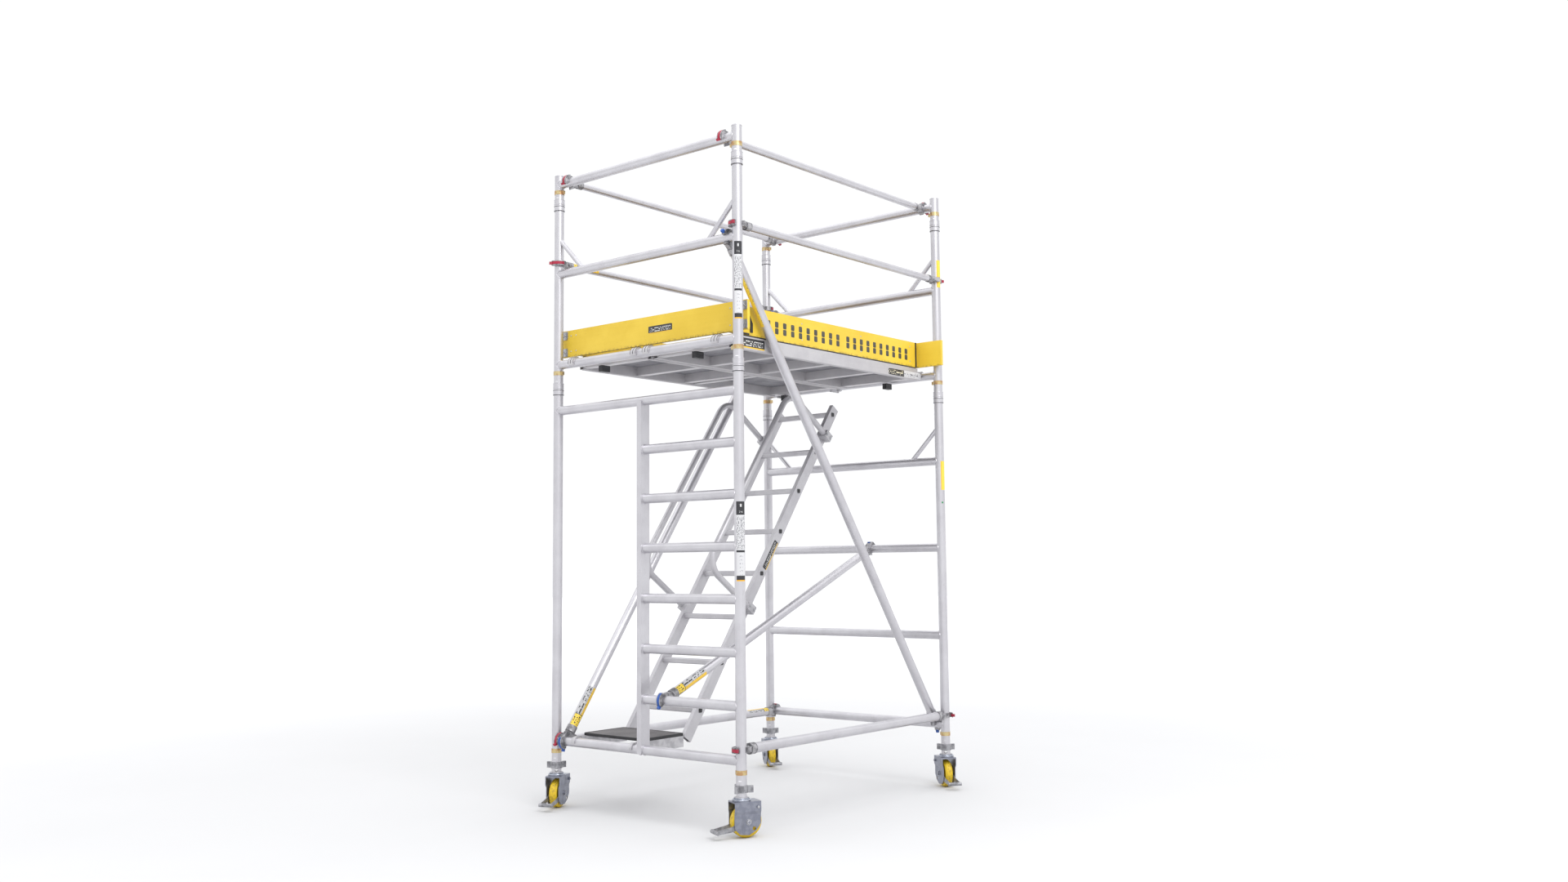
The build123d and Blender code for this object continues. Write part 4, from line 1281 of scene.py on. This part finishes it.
@dataclass
class FrameTrim:
    """Rims of the post joints, white marks that paint the highlights of the post collars, and the rims, pins
    and cheeks of the claws.

    Attributes:
        collar: Radius of a joint collar.
        face: Half thickness of a claw.
        closed: Angles of a latch on the closed side of its claw, in degrees.
        open: Angles of the one latch that keeps clear of a neighbour.
    """

    collar: float = 0.0286
    face: float = 0.0131
    closed: tuple[float, float] = (94, 200)
    open: tuple[float, float] = (127, 250)

    def collars(self, metal: Finish, dark: Finish) -> None:
        """Rolled rims on each joint collar, a rolled lip on each post top and the dark joint lines."""
        rims, gaps = Shell(), Shell()
        for x, y in TOWER.posts().values():
            for z in TOWER.joints:
                for rise in (-0.0295, -0.005, 0.005, 0.0295):
                    rims.add(bead(circle(self.collar, TOWER.at(x, y, z + rise), 40), 0.0012), True)
                for rise in (-0.008, -0.0325):
                    gaps.add(bead(circle(self.collar, TOWER.at(x, y, z + rise), 40), 0.0009), True)
            rims.add(bead(circle(0.0252, TOWER.at(x, y, 3.3965), 40), 0.0016), True)
        rims.piece("collar_rims", metal, "tower")
        gaps.piece("collar_joints", dark, "tower")

    def slots(self) -> None:
        """Painted highlights: short white marks on one side of each post, above the collars and in the post
        feet, standing in for the highlight on the collar edges.
        """
        # painted highlight: a white sheet wrapped on the side of each post that faces (-0.9, -0.44, 0)
        white = Moulded("painted_highlight_white", paint(240, 240, 242), paint(214, 214, 216), 0.4).material()
        shell = Shell()
        for x, y in TOWER.posts().values():
            for z in (2.262, 3.277, 0.262):
                start, facing = TOWER.at(x, y, z), (-0.9, -0.44, 0)
                grid, places = wrap(start, (0, 0, -1), facing, TOWER.post, 0.004, -16, 16, 0.0007)
                shell.add(grid, flip=True, places=places)
        shell.piece("painted_highlight_marks", white, "tower", 60.0)

    def braces(self) -> list[tuple[str, np.ndarray, np.ndarray, np.ndarray, float]]:
        """Each brace: name, two gripped points, turning axis of its claws and grip radius."""
        x, base, wide = TOWER.half_bay, TOWER.base, TOWER.half_width
        guard, top, rail = base + 2.56, base + 3.0, wide - 0.08
        up, side = np.array([0, 0, 1.0]), np.array([0, -1.0, 0])
        rows = [("level_near", -wide, base + 0.05, base + 0.05, up),
                ("level_far", TOWER.far_level, base, base, side),
                ("guard_near", -wide, guard, guard, up), ("guard_far", wide, guard, guard, -up),
                ("rail_near", -rail, top, top, side), ("rail_far", rail, top, top, side),
                ("diagonal_near", TOWER.near_diagonal, base + 2.5, base, side),
                ("diagonal_far", TOWER.far_diagonal, base, base + 2.5, side),
                ("diagonal_inner", TOWER.inner_diagonal, base + 0.25, base + 1.0, side)]
        return [(name, TOWER.at(-x, y, low), TOWER.at(x, y, high), axis,
                 TOWER.post if abs(axis[2]) > 0.5 else TOWER.tube) for name, y, low, high, axis in rows]

    def claws(self, cast: Finish, steel: Finish) -> None:
        """Rims and a pivot pin on every claw, and cast cheeks either side of every coloured latch.

        At angle t a point is middle + r x (cos t x toward + sin t x up), with toward along the brace
        and up square to both toward and the claw's axis.

        Args:
            cast: Finish of the rims and cheeks.
            steel: Finish of the pins.
        """
        rims, pins, head = Shell(), Shell(), dome(0.0055, 0.0026)
        for name, start, end, axis, grip in self.braces():
            for which, middle, other, turn in (("near", start, end, axis), ("far", end, start, -axis)):
                toward, normal, _ = basis(other - middle, turn)
                up = np.cross(normal, toward)

                def arc(low: float, high: float, radius: float) -> np.ndarray:
                    """Arc of points round the claw from one angle in degrees to another."""
                    t = np.radians(np.linspace(low, high, 36))[:, None]
                    return middle + radius * (np.cos(t) * toward + np.sin(t) * up)

                for sign in (-1, 1):
                    out = sign * self.face * normal
                    rims.add(bead(arc(30, 196, grip + 0.0109) + out, 0.0019, closed=False))
                    pins.add(revolve(middle + toward * (grip + 0.026) + out, sign * normal, head, 16), True)
                cheeks = Shell()
                span = self.open if (name, which) == ("level_near", "far") else self.closed
                inner, outer = arc(*span, grip + 0.0142), arc(*span, grip + 0.0192)
                for low, high in ((-0.0128, -0.0082), (0.0082, 0.0128)):
                    square = [inner + low * normal, outer + low * normal, outer + high * normal,
                              inner + high * normal]
                    cheeks.add(np.stack(square, 1))
                cheeks.piece(f"cheeks_{name}_{which}", cast, f"trigger_{name}_{which}", 30.0)
        rims.piece("claw_rims", cast, "tower")
        pins.piece("claw_pins", steel, "tower")

    def build(self, stock: Stock) -> None:
        """Make every piece of frame trim."""
        self.collars(stock.metal, stock.rubber)
        # painted highlights on the posts
        self.slots()
        self.claws(stock.cast, stock.steel)


WASHER = np.array([[0.0062, 0.0], [0.0142, 0.0], [0.0142, 0.002], [0.0062, 0.002]])
NUT = np.array([[0.0058, 0.0], [0.0098, 0.0], [0.0104, 0.0008], [0.0104, 0.0056], [0.0092, 0.0066],
                [0.0058, 0.0066]])
BOLT = np.array([[0.0003, 0.0], [0.0062, 0.0], [0.0062, 0.0026], [0.0052, 0.0034], [0.0003, 0.0034]])


@dataclass
class CasterTrim:
    """Nuts, washers and race ring of one caster, which ride on its fork; the race ring is painted bright as
    its highlight.

    Attributes:
        letter: Which caster.
        yaw: Heading of its pedal in degrees.
        axle_height: Height of the axle.
        trail: Distance of the axle behind the swivel axis.
    """

    letter: str
    yaw: float
    axle_height: float = 0.075
    trail: float = 0.02

    def forward(self) -> np.ndarray:
        """Direction of the pedal from the swivel axis."""
        angle = math.radians(self.yaw)
        return np.array([math.cos(angle), math.sin(angle), 0.0])

    def axle(self) -> np.ndarray:
        """Middle of the wheel."""
        x, y = TOWER.posts()[self.letter]
        return TOWER.at(x, y, self.axle_height) - self.trail * self.forward()

    def build(self, steel: Finish, bright: Finish) -> None:
        """Make the nuts, washers and bolts of the fork, and the rings of the swivel race in a bright bluish
        zinc that paints their highlight.
        """
        ahead = self.forward()
        across = np.array([ahead[1], -ahead[0], 0.0])
        nuts, race = Shell(), Shell()
        for sign in (-1, 1):
            corner = self.axle() - ahead * 0.046 + np.array([0, 0, 0.067]) + across * sign * 0.048
            nuts.add(revolve(self.axle() + across * sign * 0.0371, sign * across, WASHER, 24), True)
            nuts.add(revolve(self.axle() + across * sign * 0.0391, sign * across, NUT, 6), True)
            nuts.add(revolve(corner, sign * across, BOLT, 6), True)
        nuts.piece(f"caster_nuts_{self.letter}", steel, f"fork_{self.letter}", 30.0)
        x, y = TOWER.posts()[self.letter]
        # the race rings are real; their bright bluish colour is a painted highlight
        for radius, z, size in ((0.0425, 0.176, 0.0018), (0.0358, 0.1822, 0.0012)):
            race.add(bead(circle(radius, TOWER.at(x, y, z), 48), size), True)
        race.piece(f"swivel_race_painted_highlight_{self.letter}", bright, f"fork_{self.letter}")


def wear(material: Finish, *names: str) -> None:
    """Put one material on several CAD nodes.

    Args:
        material: The finish.
        names: The nodes that get it.
    """
    for name in names:
        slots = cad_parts[name].data.materials
        slots.clear()
        slots.append(material)


def dress(casters: list[CasterTrim]) -> Stock:
    """Make the finishes and put them on every CAD node.

    Args:
        casters: The four casters, for the wheels' own finishes.

    Returns:
        The finishes that the trim shares.
    """
    x_way, steep = Grain.ALONG_X, math.atan2(2.5, 2 * TOWER.half_bay)
    frames = Aluminium("frame_tube").material()
    beams = Aluminium("deck_beam", paint(200, 198, 200), paint(182, 180, 184), x_way,
                      rough=0.42, metal=0.6).material()
    stairs = Aluminium("stair_beam", paint(200, 199, 202), paint(184, 182, 187), Grain.SLOPE,
                       slope=0.9517, rough=0.42, metal=0.75).material()
    cast = Casting("claw_casting").material()
    nut = Casting("nut_casting", paint(166, 166, 170), paint(128, 128, 132), 0.7, 0.45).material()
    zinc = Plated("caster_zinc").material()
    steel = Plated("bracket_zinc", paint(178, 179, 182), paint(192, 193, 196), paint(150, 150, 154))
    steel = steel.material()
    clip = Plated("clip_zinc", paint(206, 188, 140), paint(188, 150, 108), paint(150, 118, 84)).material()
    black = Moulded("black_plastic", paint(40, 40, 43), paint(98, 97, 99), 0.5).material()
    wear(frames, "base_frame_ladder", "base_frame_plain", "upper_frame_ladder_end", "upper_frame_plain_end",
         "top_rail_frames", *(f"leg_{caster.letter}" for caster in casters))
    wear(Aluminium("level_tube", grain=x_way).material(), "level_brace_tubes")
    wear(Aluminium("sloping_tube", grain=Grain.SLOPE, slope=steep).material(), "diagonal_brace_tubes")
    wear(stairs, "stair", "stair_handrails")
    wear(cast, "level_brace_claws", "diagonal_brace_claws")
    wear(Casting("clamp_casting", paint(196, 195, 198), paint(178, 177, 181)).material(), "stair_fittings")
    wear(beams, "deck_frames")
    wear(DeckBoard("deck_film").material(), "deck_boards", "hatch")
    wear(PaintedBoard("toe_paint").material(), "toe_boards")
    wear(steel, "toe_brackets")
    wear(black, "toe_clips", "tread_plugs", "wind_latches_near", "wind_latches_far")
    wear(clip, "interlock_clips")
    for caster in casters:
        centre = tuple(float(part) for part in caster.axle())
        wheel = WheelFinish(f"wheel_{caster.letter}_yellow", centre, math.radians(caster.yaw))
        wear(wheel.material(), f"wheel_{caster.letter}")
        wear(zinc, f"fork_{caster.letter}")
        wear(nut, f"brake_pedal_{caster.letter}", f"jack_nut_{caster.letter}")
    triggers = [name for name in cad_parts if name.startswith("trigger_")]
    blue = Moulded("blue_trigger", paint(32, 84, 168), paint(96, 134, 196)).material()
    red = Moulded("red_trigger", paint(166, 28, 58), paint(196, 96, 118)).material()
    wear(blue, *(name for name in triggers if "diagonal" in name))
    wear(red, *(name for name in triggers if "diagonal" not in name))
    return Stock(frames, cast, steel, black, beams)


# ---------------------------------------------------------------- studio
@dataclass
class Studio:
    """Floor, sky, lamp and camera.

    Attributes:
        spot: Place of the camera.
        yaw: Its heading from X towards Y, in degrees.
        pitch: Its angle above the horizon, in degrees.
        roll: Its lean, in degrees.
        lens: Focal length on a 36 mm sensor.
        reach: Half width of the floor.
    """

    spot: Triple = (-5.5976, -4.8168, 1.259)
    yaw: float = 39.458
    pitch: float = 5.324
    roll: float = -0.6065
    lens: float = 30.565
    reach: float = 40.0

    def link(self, name: str, data: bpy.types.ID) -> bpy.types.Object:
        """Make an object for some data and put it in the scene."""
        made = bpy.data.objects.new(name, data)
        bpy.context.scene.collection.objects.link(made)
        return made

    def camera(self) -> None:
        """Set up the camera from its heading, pitch and roll."""
        data = bpy.data.cameras.new("camera")
        data.sensor_width, data.lens, data.clip_end = 36.0, self.lens, 200.0
        made = self.link("camera", data)
        heading = Matrix.Rotation(math.radians(self.yaw - 90), 4, "Z")
        tilt = Matrix.Rotation(math.radians(90 + self.pitch), 4, "X")
        lean = Matrix.Rotation(math.radians(self.roll), 4, "Z")
        made.matrix_world = Matrix.Translation(self.spot) @ heading @ tilt @ lean
        bpy.context.scene.camera = made

    def floor(self) -> None:
        """A wide pale floor, lowered at its far rim by the square of the distance and paler there, a painted
        brightening that fades the far floor into the white sky.
        """
        side = np.linspace(-1, 1, 41) * self.reach
        x, y = np.meshgrid(side, side, indexing="ij")
        points = np.stack([x, y, -0.0005 - 0.00002 * (x ** 2 + y ** 2)], -1).reshape(-1, 3)
        i, j = np.meshgrid(np.arange(40), np.arange(40), indexing="ij")
        first = (i * 41 + j).ravel()
        mesh = bpy.data.meshes.new("studio_floor")
        quads = np.stack([first, first + 41, first + 42, first + 1], -1)
        mesh.from_pydata(points.tolist(), [], quads.tolist())
        recipe = Recipe("floor_paint")
        tone = recipe.noise(recipe.place(), 0.8, 3.0)
        x, y, _ = recipe.split(recipe.place())
        # painted light: the floor turns paler from 2.5 m to 13 m out, so the far floor fades into the white
        # sky
        away = ((x * x + y * y) ** 0.5).ramp(2.5, 13.0)
        near = recipe.mix(tone, paint(205, 205, 206), paint(201, 201, 202))
        mesh.materials.append(recipe.finish(recipe.mix(away, near, paint(238, 238, 239)), 0.9))
        made = self.link("studio_floor", mesh)

    def sky(self) -> None:
        """White light all round that grows stronger towards the top."""
        world = bpy.data.worlds.new("sky")
        world.use_nodes = True
        tree = world.node_tree
        tree.nodes.clear()
        kinds = ("TexCoord", "SeparateXYZ", "MapRange", "Background", "OutputWorld")
        where, split, climb, shine, out = (tree.nodes.new(f"ShaderNode{kind}") for kind in kinds)
        for socket, value in ((1, 0.42), (2, 1.0), (3, 1.04), (4, 1.9)):
            climb.inputs[socket].default_value = value
        shine.inputs["Color"].default_value = (0.985, 0.99, 1.0, 1.0)
        tree.links.new(where.outputs["Generated"], split.inputs[0])
        tree.links.new(split.outputs[2], climb.inputs[0])
        tree.links.new(climb.outputs[0], shine.inputs["Strength"])
        tree.links.new(shine.outputs[0], out.inputs["Surface"])
        bpy.context.scene.world = world

    def lamp(self, name: str, place: Triple, power: float, size: float) -> None:
        """Hang one square lamp that points at the middle of the tower.

        Args:
            name: Name of the lamp.
            place: Where it hangs.
            power: Its power in watts.
            size: Its side in metres.
        """
        data = bpy.data.lights.new(name, "AREA")
        data.energy, data.size = power, size
        made = self.link(name, data)
        made.location = place
        made.rotation_mode = "QUATERNION"
        made.rotation_quaternion = (Vector((0, 0, 1.6)) - Vector(place)).to_track_quat("-Z", "Y")

    def build(self) -> None:
        """Set up the whole studio."""
        self.camera()
        self.floor()
        self.sky()
        self.lamp("key_lamp", (-3.0, -6.5, 8.0), 420.0, 5.0)
        bpy.context.scene.view_settings.view_transform = "Standard"


def main() -> None:
    """Build the studio, dress the frame and add the trim."""
    logging.basicConfig(level=logging.INFO, format="%(name)s %(message)s")
    Studio().build()
    yaws = {"a": 205.5, "b": 154.0, "c": 232.8, "d": 233.1}
    casters = [CasterTrim(letter, yaw) for letter, yaw in yaws.items()]
    stock = dress(casters)
    for trim in (Welds(), Labels(), PlatformTrim(), StairTrim(), FrameTrim()):
        trim.build(stock)
        log.info("%s done", type(trim).__name__)
    # bright bluish zinc that paints the highlight of the swivel race
    bright = Plated("race_painted_highlight", paint(196, 202, 212), paint(222, 228, 238), paint(150, 150, 156)).material()
    for caster in casters:
        caster.build(stock.steel, bright)


if __name__ == "__main__":
    main()
